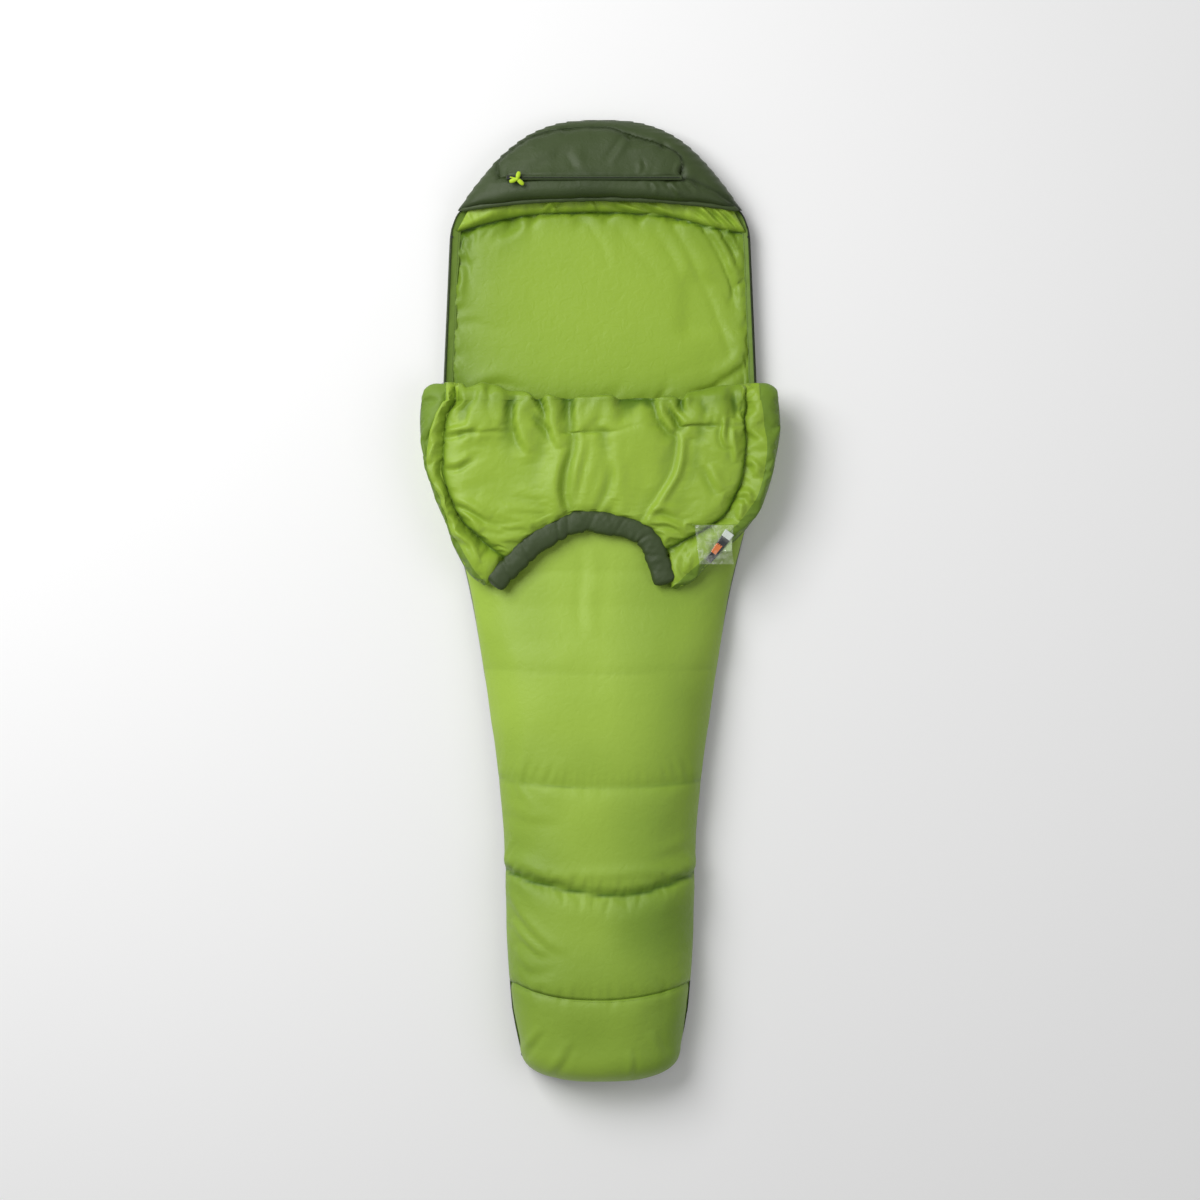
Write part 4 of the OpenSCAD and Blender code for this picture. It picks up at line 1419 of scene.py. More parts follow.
@dataclass
class Hood:
    """The dark hood: its panels, its brim band and its lining."""

    outline: Outline = field(default_factory=lambda: Outline("back_shell"))
    base_z: float = 30 * MM
    rise: float = 78 * MM
    front_y: float = 861 * MM
    front_bow: float = 21 * MM
    pocket_y: float = 924 * MM
    columns: int = 151
    crown_seam: tuple[tuple[float, float], ...] = (
        (-223, 927), (-226, 962), (-170, 1010), (-103, 1034), (9, 1041),
        (65, 1022), (137, 999), (179, 972), (180, 930),
    )
    side_seam: tuple[tuple[float, float], ...] = ((180, 928), (221, 914), (266, 892), (306, 866))

    def rows(self) -> Points:
        """The smooth outer surface from the brim to the head end.

        Returns:
            The grid of points.
        """
        turn = np.linspace(-1, 1, self.columns)
        t = np.linspace(0, 1, 60)
        end = self.outline.y[-1] - 1 * MM
        y0 = self.front_y + (end - self.front_y) * np.sin(t * np.pi / 2)
        f = (y0 - self.front_y) / (end - self.front_y)
        half = np.maximum(self.outline.half(y0) - 0.5 * MM, 1 * MM)
        height = self.rise * np.sqrt(np.maximum(1 - f**2.3, 0.004))
        height = height * (1 - 0.26 * (1 - swell(y0 - self.front_y, 30 * MM, 2.0)))
        x, z = arch(half, height, self.base_z, turn, 0.6)
        bow = self.front_bow * (1 - np.clip(np.abs(x) / (310 * MM), 0, 1) ** 2)
        y = y0[:, None] + bow * (1 - ease(f * 2.2))[:, None]
        return np.dstack([x, y, z])

    def sculpt(self, rows: Points) -> Points:
        """Adds the seams, the pocket's welt and the soft folds.

        Args:
            rows: the grid of points.

        Returns:
            The sculpted grid.
        """
        xy = rows[..., :2]
        x, y = xy[..., 0], xy[..., 1]
        lift = 2.4 * MM * noise(x, y, 90 * MM, 61) + 1.2 * MM * noise(x, y, 36 * MM, 62)
        for number, line in enumerate((self.crown_seam, self.side_seam)):
            gap, along = from_path(smooth_path(line, 70) * MM, xy)
            lift -= 4.5 * MM * groove(gap, 6 * MM)
            lift += 2.6 * MM * puckers(gap, along, 22 * MM, 22 * MM, 63 + number)
        pocket = smooth_path([(-208, 924), (0, 926), (182, 924)], 40) * MM
        gap, along = from_path(pocket, xy)
        above = (y > self.pocket_y) * (np.abs(x + 13 * MM) < 190 * MM)
        lift += 5.5 * MM * above * np.exp(-np.maximum(gap - 5 * MM, 0) / (14 * MM))
        lift -= 3 * MM * np.exp(-((gap / (6 * MM)) ** 4))
        ends = 0.15 + 0.85 * ease((x - 60 * MM) / (110 * MM))
        lift += 7 * MM * ends * puckers(gap, along, 17 * MM, 22 * MM, 67)
        for px, py in ((64, 1018), (139, 997), (150, 922), (178, 940)):
            spot = np.hypot(x - px * MM, y - py * MM)
            lift -= 5 * MM * np.exp(-((spot / (9 * MM)) ** 2))
        folds = (
            ([(64, 1018), (40, 980), (20, 955)], 9, 3.0),
            ([(139, 997), (100, 990), (60, 985)], 8, 2.4),
            ([(112, 916), (122, 900), (118, 886)], 5, 3.5),
            ([(150, 916), (160, 902), (176, 888)], 5, 4.0),
            ([(164, 934), (172, 950), (188, 964)], 6, 4.0),
            ([(186, 920), (206, 905), (216, 888)], 6, 3.5),
            ([(80, 934), (88, 946), (84, 962)], 6, 2.5),
            ([(150, 924), (168, 898), (170, 876)], 6, 2.6),
            ([(-60, 990), (-40, 950), (-44, 935)], 12, 2.2),
            ([(-200, 935), (-120, 985), (-60, 1015)], 16, 2.2),
        )
        for points, width, height in folds:
            lift += height * MM * crease(xy, points, width * MM)
        edge = y - y.min(axis=0, keepdims=True)
        lift += 1.4 * MM * puckers(edge, x, 20 * MM, 16 * MM, 69)
        lift *= ease((rows[..., 2] - self.base_z) / (45 * MM))
        return rows + outward(rows) * lift[..., None]

    def build(self) -> None:
        """Builds and dresses the panels, the brim and the lining."""
        smooth = self.rows()
        rows = self.sculpt(smooth)
        xy = rows[..., :2]
        near = np.minimum(
            from_path(smooth_path(self.crown_seam, 70) * MM, xy)[0],
            from_path(smooth_path(self.side_seam, 40) * MM, xy)[0],
        )
        beside = np.abs(xy[..., 0] + 13 * MM)
        pocket = np.hypot(
            np.maximum(beside - 200 * MM, 0),
            np.maximum(np.abs(xy[..., 1] - self.pocket_y) - 9 * MM, 0),
        )
        pinned = (near < 2.5 * MM) | (pocket < 1 * MM)
        pinned[:, [0, 1, -2, -1]] = True
        pinned[[0, 1, -1]] = True
        right = ease((xy[..., 0] - 20 * MM) / (120 * MM))
        loose = np.clip(np.exp(-near / (26 * MM)) * 0.7 + right * np.exp(-pocket / (26 * MM)), 0, 1)
        inside = smooth.copy()
        inside[..., 2] -= 12 * MM * swell(smooth[..., 2] - self.base_z, 40 * MM)
        settled = Stuffing(slack=(0.0, 0.06), cap=5 * MM).settle(rows, inside, pinned, loose)
        rows = rows + (settled - rows) * ease((rows[..., 2:] - self.base_z) / (45 * MM))
        back = smooth.copy()
        crown = np.maximum(smooth[..., 2].max(axis=1, keepdims=True) - self.base_z, 1e-4)
        half = np.maximum(np.abs(smooth[..., 0]).max(axis=1, keepdims=True), 1e-4)
        back[..., 0] *= np.clip(1 - 9 * MM / half, 0.2, 1)
        lower = (smooth[..., 2] - self.base_z) * np.clip(1 - 10 * MM / crown, 0.1, 1)
        back[..., 2] = self.base_z + 0.6 * MM + lower
        seam = smooth_path(self.crown_seam, 70) * MM
        middle = rows[:-1, :-1] * 0.5 + rows[1:, 1:] * 0.5
        ceiling = np.interp(middle[..., 0], seam[:, 0], seam[:, 1], left=0, right=0)
        front = (middle[..., 1] < ceiling) & (middle[..., 1] > self.pocket_y)
        # Painted shade on the hood: dark lines in the seams, darker along the seams and the pocket zip, much
        # darker at the front edge by the brim, with a little random variation.
        zip_gap = np.abs(rows[..., 1] - self.pocket_y) + np.maximum(beside - 190 * MM, 0)
        gap = np.minimum(zip_gap, near)
        pinch_depth_and_painted_shade = 0.3 * np.exp(-((near / (2.8 * MM)) ** 2)) + 0.3 * np.exp(-gap / (12 * MM))
        pinch_depth_and_painted_shade += 0.55 * np.exp(-(rows[..., 1] - rows[:1, :, 1]) / (14 * MM))
        pinch_depth_and_painted_shade += 0.15 * noise(xy[..., 0], xy[..., 1], 90 * MM, 66)
        panel = closed_sheet("hood_front_quilt", rows, back, front, pinch_depth_and_painted_shade=pinch_depth_and_painted_shade)
        dress(panel, HOOD_OLIVE, Body.BAG, ("hood_front_panel", "pocket_bag"))
        rim = closed_sheet("hood_rim_quilt", rows, back, ~front, pinch_depth_and_painted_shade=pinch_depth_and_painted_shade)
        dress(rim, HOOD_OLIVE, Body.BAG, ("hood_rim_panel", "hood_insulation"))
        inner = back.copy()
        inner[..., 0] *= np.clip(1 - 10 * MM / half, 0.2, 1)
        lower = (back[..., 2] - self.base_z) * np.clip(1 - 12 * MM / crown, 0.1, 1)
        inner[..., 2] = self.base_z + 1 * MM + lower
        outer = back.copy()
        outer[..., 0] *= np.clip(1 - 1 * MM / half, 0.2, 1)
        outer[..., 2] -= 0.5 * MM
        lining = closed_sheet("hood_lining_quilt", outer, inner)
        dress(lining, LINING_LIME, Body.BAG, ("hood_lining",))
        line = smooth_path(self.crown_seam, 160)[6:-6] * MM
        line[:, 1] -= 3 * MM
        side = smooth_path(self.side_seam, 60)[4:-10] * MM
        paths = [on_surface(rows, line, 0.6 * MM), on_surface(rows, side, 0.6 * MM)]
        thread = STITCH.along("hood_seam_stitches", paths, THREAD_DARK.material())
        dress(thread, None, Body.BAG)
        self.brim(smooth)

    def brim(self, smooth: Points) -> None:
        """Builds the rolled band on the hood's front edge.

        Args:
            smooth: the hood's smooth grid.
        """
        edge = smooth[0, 8:-8].copy()
        edge[:, 1] -= 1 * MM
        edge[:, 2] -= 6 * MM
        path = smooth_path(edge[::6], 140)
        run = np.linspace(0, 1, len(path))
        x = path[:, 0]
        wrinkle = 1 + 0.12 * noise(x, x * 0, 16 * MM, 71) + 0.08 * noise(x, x * 0, 7 * MM, 72)
        taper = np.clip(np.minimum(run, 1 - run) / 0.03, 0.25, 1)
        roll = tube("hood_brim_roll", path, 6 * MM * wrinkle * taper, 6 * MM * wrinkle * taper, 16)
        dress(roll, HOOD_OLIVE, Body.BAG, ("hood_brim",))


@dataclass
class Flap:
    """The folded chest flap: its lining up, its shell under, and the cloth that turns at the fold.

    Every row of the grid runs from the left edge to the right edge through six lines: the edge, the
    outer side of the draft tube and its groove on the left, and the same on the right. The first
    rows turn round the fold, and the others lie on the bag.
    """

    fold_y: float = 436 * MM
    axis_z: float = 96.15 * MM
    half: float = 392 * MM
    turn_rows: int = 24
    flat_rows: int = 96
    columns: tuple[int, ...] = (10, 12, 128, 8, 13)
    left_edge: tuple[tuple[float, float], ...] = (
        (-391, 436), (-394, 400), (-393, 364), (-390, 335), (-380, 285), (-364, 232),
        (-353, 203), (-336, 165), (-318, 113), (-287, 58), (-254, 32),
    )
    left_band: tuple[tuple[float, float], ...] = (
        (-338, 436), (-356, 400), (-370, 353), (-371, 290), (-348, 225),
        (-328, 168), (-304, 118), (-274, 66), (-246, 34),
    )
    left_groove: tuple[tuple[float, float], ...] = (
        (-316, 436), (-332, 400), (-339, 353), (-342, 280), (-326, 224), (-301, 174), (-256, 129), (-208, 92),
    )
    right_groove: tuple[tuple[float, float], ...] = (
        (318, 436), (316, 392), (319, 336), (311, 269), (294, 224), (271, 185), (220, 150), (144, 108),
    )
    right_band: tuple[tuple[float, float], ...] = (
        (350, 436), (357, 392), (362, 336), (353, 269), (337, 222),
        (308, 180), (260, 128), (206, 70), (156, 27),
    )
    right_edge: tuple[tuple[float, float], ...] = (
        (391, 436), (394, 400), (394, 364), (385, 311), (373, 258), (354, 206),
        (331, 170), (303, 138), (236, 76), (204, 42), (166, 24),
    )
    neck: tuple[tuple[float, float], ...] = (
        (-236, 33), (-192, 78), (-150, 119), (-100, 150), (-40, 173),
        (36, 164), (86, 149), (112, 126), (127, 88), (146, 34),
    )
    fold_line: tuple[tuple[float, float], ...] = (
        (-343, 38), (-298, 38), (-288, 32), (-254, 33), (-215, 22), (-175, 19), (-139, 3),
        (-118, 10), (-80, 1), (-47, 7), (9, 10), (48, 7), (98, 0), (121, 3),
        (143, 10), (177, 10), (210, 21), (255, 26), (294, 36), (355, 36),
    )
    trim_half: float = 21 * MM
    seam_down: float = 72 * MM

    def plan(self) -> tuple[Points, list[int]]:
        """Plan of the flat rows, and the columns where the lines run.

        Returns:
            The grid of points in plan and the line columns.
        """
        chosen = (
            self.left_edge, self.left_band, self.left_groove,
            self.right_groove, self.right_band, self.right_edge,
        )
        lines = [smooth_path(line, self.flat_rows) * MM for line in chosen]
        columns, marks = [], [0]
        for part, count in enumerate(self.columns):
            t = np.linspace(0, 1, count + 1)
            share = (t - 0.5 * np.sin(2 * np.pi * t) / (2 * np.pi))[(0 if part == 0 else 1):]
            columns += [lines[part] * (1 - s) + lines[part + 1] * s for s in share]
            marks.append(marks[-1] + count)
        plan = np.stack(columns, axis=1)
        trim = smooth_path(self.neck, 240) * MM
        step = np.gradient(trim, axis=0)
        off = np.column_stack([-step[:, 1], step[:, 0]]) / np.linalg.norm(step, axis=1, keepdims=True)
        trim = trim + (self.trim_half - 4 * MM) * off
        middle = slice(marks[2], marks[3] + 1)
        straight = plan[-1, middle]
        along = from_path(trim, straight[[0, -1]])[1]
        run = run_along(trim)
        width = np.linalg.norm(np.diff(straight, axis=0), axis=1)
        at = along[0] + (along[1] - along[0]) * np.r_[0, np.cumsum(width)] / width.sum()
        target = np.column_stack([np.interp(at, run, trim[:, k]) for k in (0, 1)])
        t = np.linspace(0, 1, self.flat_rows)[:, None, None]
        plan[:, middle] += (target - straight)[None] * t**1.6
        return plan, marks

    def loft(self, plan: Points, marks: list[int]) -> Points:
        """Smooth height of the flap over its hinge line, zone by zone.

        Args:
            plan: the flat rows in plan.
            marks: the columns where the lines run.

        Returns:
            The height at each point.
        """
        z = np.zeros(plan.shape[:2])
        shares = [np.linspace(0, 1, count + 1) for count in self.columns]
        shares = [t - 0.5 * np.sin(2 * np.pi * t) / (2 * np.pi) for t in shares]
        edge, band, _, band_r, edge_r = shares
        z[:, marks[0]:marks[1] + 1] = 1 * MM + 25 * MM * np.sqrt(1 - (1 - edge) ** 2.3)
        z[:, marks[1]:marks[2] + 1] = (26 - 12 * band + 14 * np.sin(np.pi * band**0.9)) * MM
        gap = np.minimum(
            from_path(plan[:, marks[2]], plan[:, marks[2]:marks[3] + 1])[0],
            from_path(plan[:, marks[3]], plan[:, marks[2]:marks[3] + 1])[0],
        )
        z[:, marks[2]:marks[3] + 1] = 13 * MM + 21 * MM * swell(gap, 38 * MM, 2.0)
        z[:, marks[3]:marks[4] + 1] = (13 + 17 * band_r + 8 * np.sin(np.pi * band_r)) * MM
        z[:, marks[4]:marks[5] + 1] = 1 * MM + 29 * MM * np.sqrt(1 - edge_r**2.3)
        end, _ = from_path(plan[-1], plan)
        inside = np.zeros(z.shape)
        inside[:, marks[2]:marks[3] + 1] = 1
        return z * (1 - (0.55 - 0.15 * inside) * (1 - swell(end, 24 * MM, 2.0)))

    def wrinkles(self, plan: Points, marks: list[int]) -> Points:
        """Gathers, puckers and soft folds of the lining.

        Args:
            plan: the flat rows in plan.
            marks: the columns where the lines run.

        Returns:
            The height to add at each point.
        """
        gap_l, along_l = from_path(plan[:, marks[2]], plan)
        gap_r, along_r = from_path(plan[:, marks[3]], plan)
        trim_gap, trim_along = from_path(plan[-1, marks[2]:marks[3] + 1], plan)
        x, s = plan[..., 0], self.fold_y - plan[..., 1]
        column = np.arange(x.shape[1])
        middle = ((column >= marks[2]) & (column <= marks[3]))[None, :]
        inside = ease(np.minimum(gap_l, gap_r) / (24 * MM)) * middle
        z = (3.2 * noise(x, s, 110 * MM, 81) + 1.6 * noise(x, s, 48 * MM, 82)) * MM
        depth = np.exp(-np.maximum(s, 0) / (62 * MM)) * inside
        gathers = noise(x, s * 0.3, 30 * MM, 83) + 0.5 * noise(x + 0.2 * s, s * 0.4, 14 * MM, 84)
        z += 12 * MM * depth * gathers
        seam = np.abs(s - self.seam_down + 14 * MM * ease((x - 20 * MM) / (60 * MM)))
        sewn = inside * ease(0.6 + 1.2 * noise(x, x * 0, 90 * MM, 80))
        z -= 2.0 * MM * groove(seam, 5 * MM) * sewn
        z += 2.0 * MM * puckers(seam, x, 15 * MM, 18 * MM, 86) * sewn
        line = np.array(self.fold_line) * MM
        notch = 1 - np.clip(np.interp(x, line[:, 0], line[:, 1]) / (9 * MM), 0, 1)
        z -= 15 * MM * notch * np.exp(-np.maximum(s, 0) / (16 * MM)) * inside
        drawn = puckers(trim_gap, trim_along, 20 * MM, 40 * MM, 87)
        z += 5.0 * MM * drawn * ease(trim_gap / (8 * MM)) * middle
        z += 4.5 * MM * puckers(gap_l, along_l, 26 * MM, 20 * MM, 88)
        z += 4.5 * MM * puckers(gap_r, along_r, 30 * MM, 16 * MM, 89) * (x < 345 * MM)
        folds = (
            ([(-192, 455), (-180, 415), (-176, 370), (-150, 320)], 11, 7.0),
            ([(-215, 455), (-225, 420), (-214, 380)], 10, 5.0),
            ([(-120, 446), (-108, 405), (-100, 365), (-86, 330)], 10, 8.5),
            ([(-150, 440), (-132, 400), (-104, 372)], 9, 5.0),
            ([(-52, 446), (-46, 395), (-40, 340), (-52, 280), (-58, 215), (-56, 186)], 11, 8.5),
            ([(-20, 440), (-24, 385), (-14, 330), (-30, 250), (-44, 188)], 10, 5.0),
            ([(-74, 182), (-98, 230), (-96, 280), (-78, 330)], 12, 5.0),
            ([(-34, 182), (-12, 220), (4, 270), (8, 330)], 11, 4.0),
            ([(36, 360), (32, 310), (40, 260), (30, 220)], 12, 3.5),
            ([(128, 444), (136, 405), (150, 380), (168, 372)], 10, 6.5),
            ([(152, 442), (170, 410), (190, 380), (196, 350)], 10, 6.0),
            ([(176, 410), (178, 350), (166, 280), (130, 215), (96, 160)], 9, 6.5),
            ([(100, 196), (136, 205), (170, 190)], 9, 3.5),
            ([(118, 170), (150, 172), (178, 160)], 8, 3.0),
            ([(272, 400), (268, 360), (276, 330)], 7, 4.0),
            ([(292, 396), (288, 350), (292, 300)], 7, 4.0),
            ([(238, 300), (252, 262), (266, 240)], 12, 4.0),
            ([(-326, 226), (-290, 214), (-258, 196), (-236, 180)], 10, 5.5),
            ([(-318, 206), (-282, 182), (-256, 150)], 10, 5.0),
            ([(-300, 176), (-262, 150), (-228, 118)], 9, 4.5),
            ([(-338, 300), (-310, 300), (-280, 318)], 10, 4.0),
            ([(-338, 366), (-300, 372), (-270, 380)], 9, 4.0),
            ([(-336, 168), (-306, 140), (-286, 96), (-268, 52)], 9, 5.0),
            ([(-318, 150), (-280, 120), (-262, 80)], 8, 4.0),
            ([(318, 306), (338, 296), (336, 270)], 8, 5.5),
            ([(296, 226), (318, 236), (326, 214)], 8, 7.0),
            ([(286, 200), (306, 212), (300, 176)], 8, 6.0),
            ([(226, 136), (206, 104), (184, 60)], 9, 4.0),
        )
        for points, width, height in folds:
            z += 1.45 * height * MM * crease(plan, points, width * MM)
        edge = np.minimum(from_path(plan[:, 0], plan)[0], from_path(plan[:, -1], plan)[0])
        return z * ease(edge / (18 * MM))

    def sheet(self) -> tuple[Points, list[int], Points]:
        """The whole upper sheet: the turn at the fold and the flat part.

        Returns:
            The grid of points, the turn's rows first, the line columns, and the loose share.
        """
        plan, marks = self.plan()
        wrinkle = self.wrinkles(plan, marks)
        z = np.clip(self.loft(plan, marks) + wrinkle, 1 * MM, 46 * MM)
        flat = np.dstack([plan, self.axis_z + z])
        x0, level = plan[0, :, 0], z[0]
        line = np.array(self.fold_line) * MM
        corner = swell(self.half - np.abs(x0), 34 * MM, 2.0)
        reach = np.interp(x0, line[:, 0], line[:, 1], 36 * MM, 36 * MM) + 0.3 * wrinkle[0]
        reach = np.maximum(reach, 1.5 * MM) * corner
        low = 34 * MM * corner
        turn = np.pi * np.linspace(1, 0, self.turn_rows, endpoint=False)[:, None]
        height = np.where(np.cos(turn) < 0, low * np.cos(turn), level * np.cos(turn))
        y = self.fold_y + reach * np.sin(turn)
        rows = np.dstack([np.broadcast_to(x0, y.shape), y, self.axis_z + height])
        rows = np.concatenate([rows, flat])
        down = np.maximum(self.fold_y - rows[..., 1], 0)
        loose = np.clip(1 - down / (150 * MM), 0.25, 1)
        return rows, marks, loose

    def build(self) -> None:
        """Builds and dresses the fold, the lining, the tubes, the strips, the shell and the trim."""
        rows, marks, loose = self.sheet()
        plan = rows[self.turn_rows:, :, :2].copy()
        n, m = rows.shape[:2]
        back = rows - outward(rows) * 4 * MM
        pinned = np.zeros((n, m), bool)
        pinned[0] = pinned[-1] = True
        pinned[:, [0, 1, marks[2], marks[3], m - 2, m - 1]] = True
        rows = Stuffing(cap=10 * MM).settle(rows, back, pinned, loose)
        inner = slice(marks[2] + 2, marks[3] - 1)
        before = rows[1:-1, inner.start - 1: inner.stop - 1]
        mean = (before + rows[1:-1, inner.start + 1: inner.stop + 1]) / 2
        rows[1:-1, inner] = 0.5 * rows[1:-1, inner] + 0.5 * mean
        room = 33.5 * MM + 0.2 * np.maximum(rows[..., 1] - 164 * MM, 0)
        room += 13 * MM * ease((np.abs(rows[..., 0] - 249 * MM) - 46 * MM) / (16 * MM))
        room += 13 * MM * ease((70 * MM - rows[..., 1]) / (20 * MM))
        rows[..., 2] = soft_top(rows[..., 2], self.axis_z + np.minimum(room, 47.5 * MM))
        flat = rows[self.turn_rows:]
        flat[..., 1] = np.minimum(flat[..., 1], self.fold_y)
        flat[0, :, 1] = self.fold_y
        turn = rows[: self.turn_rows]
        turn[..., 1] = np.maximum(turn[..., 1], self.fold_y)
        normals = outward(rows)
        back = rows - normals * 4 * MM
        back[self.turn_rows:, :, 2] = np.maximum(back[self.turn_rows:, :, 2], self.axis_z + 0.3 * MM)
        # Painted shade for the flap's upper sheets.
        pinch_depth_and_painted_shade = self.painted_shade(rows, marks)
        is_turn = np.zeros((n - 1, m - 1), bool)
        is_turn[: self.turn_rows] = True
        zone = np.zeros((n - 1, m - 1), int)
        for number, (a, b) in enumerate(zip(marks, marks[1:])):
            zone[:, a:b] = number
        roll = closed_sheet("fold_roll_cloth", rows, back, is_turn, normals, pinch_depth_and_painted_shade)
        dress(roll, LINING_LIME, None, ("fold_roll",))
        # The fold's ends take the darker strip green, partly painted shade where the cloth turns down.
        roll.data.materials.append(STRIP_GREEN_PAINTED_SHADE.material())
        for face in roll.data.polygons:
            x = abs(face.center.x)
            face.material_index = int(x > (336 if face.center.x < 0 else 348) * MM)
        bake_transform(roll)
        pieces = (
            ("flap_lining_quilt", [2], LINING_LIME, "lining_lime", ("flap_lining", "flap_insulation")),
            ("left_draft_tube_quilt", [1], LINING_LIME, "lining_lime", ("left_draft_tube",)),
            ("right_draft_tube_quilt", [3], LINING_LIME, "lining_lime", ("right_draft_tube",)),
            ("left_flap_strip", [0], STRIP_GREEN_PAINTED_SHADE, "zip_tape", ("left_flap_tape",)),
            ("right_flap_strip", [4], STRIP_GREEN_PAINTED_SHADE, "zip_tape", ("right_flap_tape",)),
        )
        for name, zones, finish, slot, nodes in pieces:
            piece = closed_sheet(name, rows, back, np.isin(zone, zones) & ~is_turn, normals, pinch_depth_and_painted_shade)
            dress(piece, finish, Body.FLAP, nodes)
        under = np.dstack([plan, np.full(plan.shape[:2], self.axis_z - 0.4 * MM)])
        inside = np.dstack([plan, back[self.turn_rows:, :, 2]])
        inside[..., 2] = np.clip(inside[..., 2] - 1 * MM, self.axis_z + 1 * MM, self.axis_z + 14 * MM)
        # Painted shade on the shell's underside: dark lines at its two seams and darker cloth next to the
        # fold.
        down = self.fold_y - under[..., 1]
        sewn = np.exp(-(((down - 150 * MM) / (3 * MM)) ** 2)) + np.exp(-(((down - 300 * MM) / (3 * MM)) ** 2))
        shade = 0.5 * sewn + 0.3 * np.exp(-down / (20 * MM))
        shell = closed_sheet("flap_shell_quilt", inside, under, pinch_depth_and_painted_shade=shade)
        dress(shell, SHELL_LIME, Body.FLAP, ("flap_shell",))
        self.trim()
        self.coils(flat)

    def painted_shade(self, rows: Points, marks: list[int]) -> Points:
        """Painted shade at each point, from 0 to 1: darker in the two grooves, along the trim, in the
        valleys, towards the right, next to the fold and at the edges.

        Args:
            rows: the grid of points.
            marks: the columns where the lines run.

        Returns:
            The painted shade at each point.
        """
        x, y, z = rows[..., 0], rows[..., 1], rows[..., 2]
        left, right = (from_path(rows[self.turn_rows:, marks[k]], rows[..., :2])[0] for k in (2, 3))
        end = from_path(rows[-1, marks[2]:marks[3] + 1], rows[..., :2])[0]
        pinch_depth_and_painted_shade = 0.75 * np.exp(-left / (6 * MM)) + 0.65 * np.exp(-right / (5 * MM))
        pinch_depth_and_painted_shade += 0.4 * np.exp(-end / (12 * MM))
        wide = np.pad(z, ((6, 6), (6, 6)), mode="edge")
        n, m = z.shape
        around = sum(wide[6 + i: 6 + i + n, 6 + j: 6 + j + m] for i in (-6, 0, 6) for j in (-6, 0, 6)) / 9
        valley = np.clip((around - z) / (5 * MM), 0, 1)
        middle = np.abs(x) < 310 * MM
        top = np.exp(-np.maximum(self.fold_y - y, 0) / (110 * MM))
        pinch_depth_and_painted_shade += (0.12 + 0.5 * top) * valley * middle + 0.12 * ease((x - 40 * MM) / (240 * MM))
        pinch_depth_and_painted_shade += 0.35 * np.exp(-np.maximum(self.fold_y - y, 0) / (26 * MM)) * middle
        edge = np.minimum(
            from_path(rows[self.turn_rows:, 0], rows[..., :2])[0],
            from_path(rows[self.turn_rows:, -1], rows[..., :2])[0],
        )
        return np.clip(pinch_depth_and_painted_shade + 0.35 * np.exp(-edge / (12 * MM)), 0, 1)

    def trim(self) -> None:
        """Builds the puffy neck trim."""
        middle = smooth_path(self.neck, 200) * MM
        run = run_along(middle)
        count, sides = len(middle), 36
        path = np.column_stack([middle, np.full(count, self.axis_z + 19 * MM)])
        angle = np.arange(sides) * 2 * np.pi / sides
        u, v = np.meshgrid(np.cos(angle) * 20 * MM, run)
        wrinkle = 1 + 0.07 * noise(u * 0.6, v, 26 * MM, 95) + 0.05 * noise(u, v, 9 * MM, 96)
        pinches = (
            (46, 0.22), (104, 0.16), (190, 0.20), (214, 0.26),
            (268, 0.12), (330, 0.18), (392, 0.26), (440, 0.14),
        )
        for at, pinch_depth_and_painted_shade in pinches:
            wrinkle -= 0.55 * pinch_depth_and_painted_shade * np.exp(-(((v - at * MM - 0.5 * u) / (4 * MM)) ** 2))
        ends = swell(np.minimum(run, run[-1] - run), 12 * MM, 2.0)[:, None]
        ends = np.maximum(ends, 0.05)
        square = np.maximum(np.abs(np.cos(angle)), np.abs(np.sin(angle))) ** -0.35
        wide = 25 * MM * wrinkle * ends * square
        tall = 14 * MM * wrinkle * ends * square
        roll = tube("neck_trim_roll", path, wide, tall, sides)
        dress(roll, TRIM_OLIVE, Body.FLAP, ("neck_trim",))

    def coils(self, flat: Points) -> None:
        """Builds the zip coils on the flap's two edges.

        Args:
            flat: the flap's flat rows.
        """
        for column, name in ((0, "left"), (-1, "right")):
            path = flat[1: int(0.8 * len(flat)), column].copy()
            path[:, 0] += 1.5 * MM * (1 if column == 0 else -1)
            path[:, 2] = np.maximum(path[:, 2], self.axis_z + 3 * MM)
            coil = COIL.along(f"{name}_flap_zip_coil", [path], ZIP_BLACK.material())
            dress(coil, None, Body.FLAP, (f"{name}_flap_coil",))


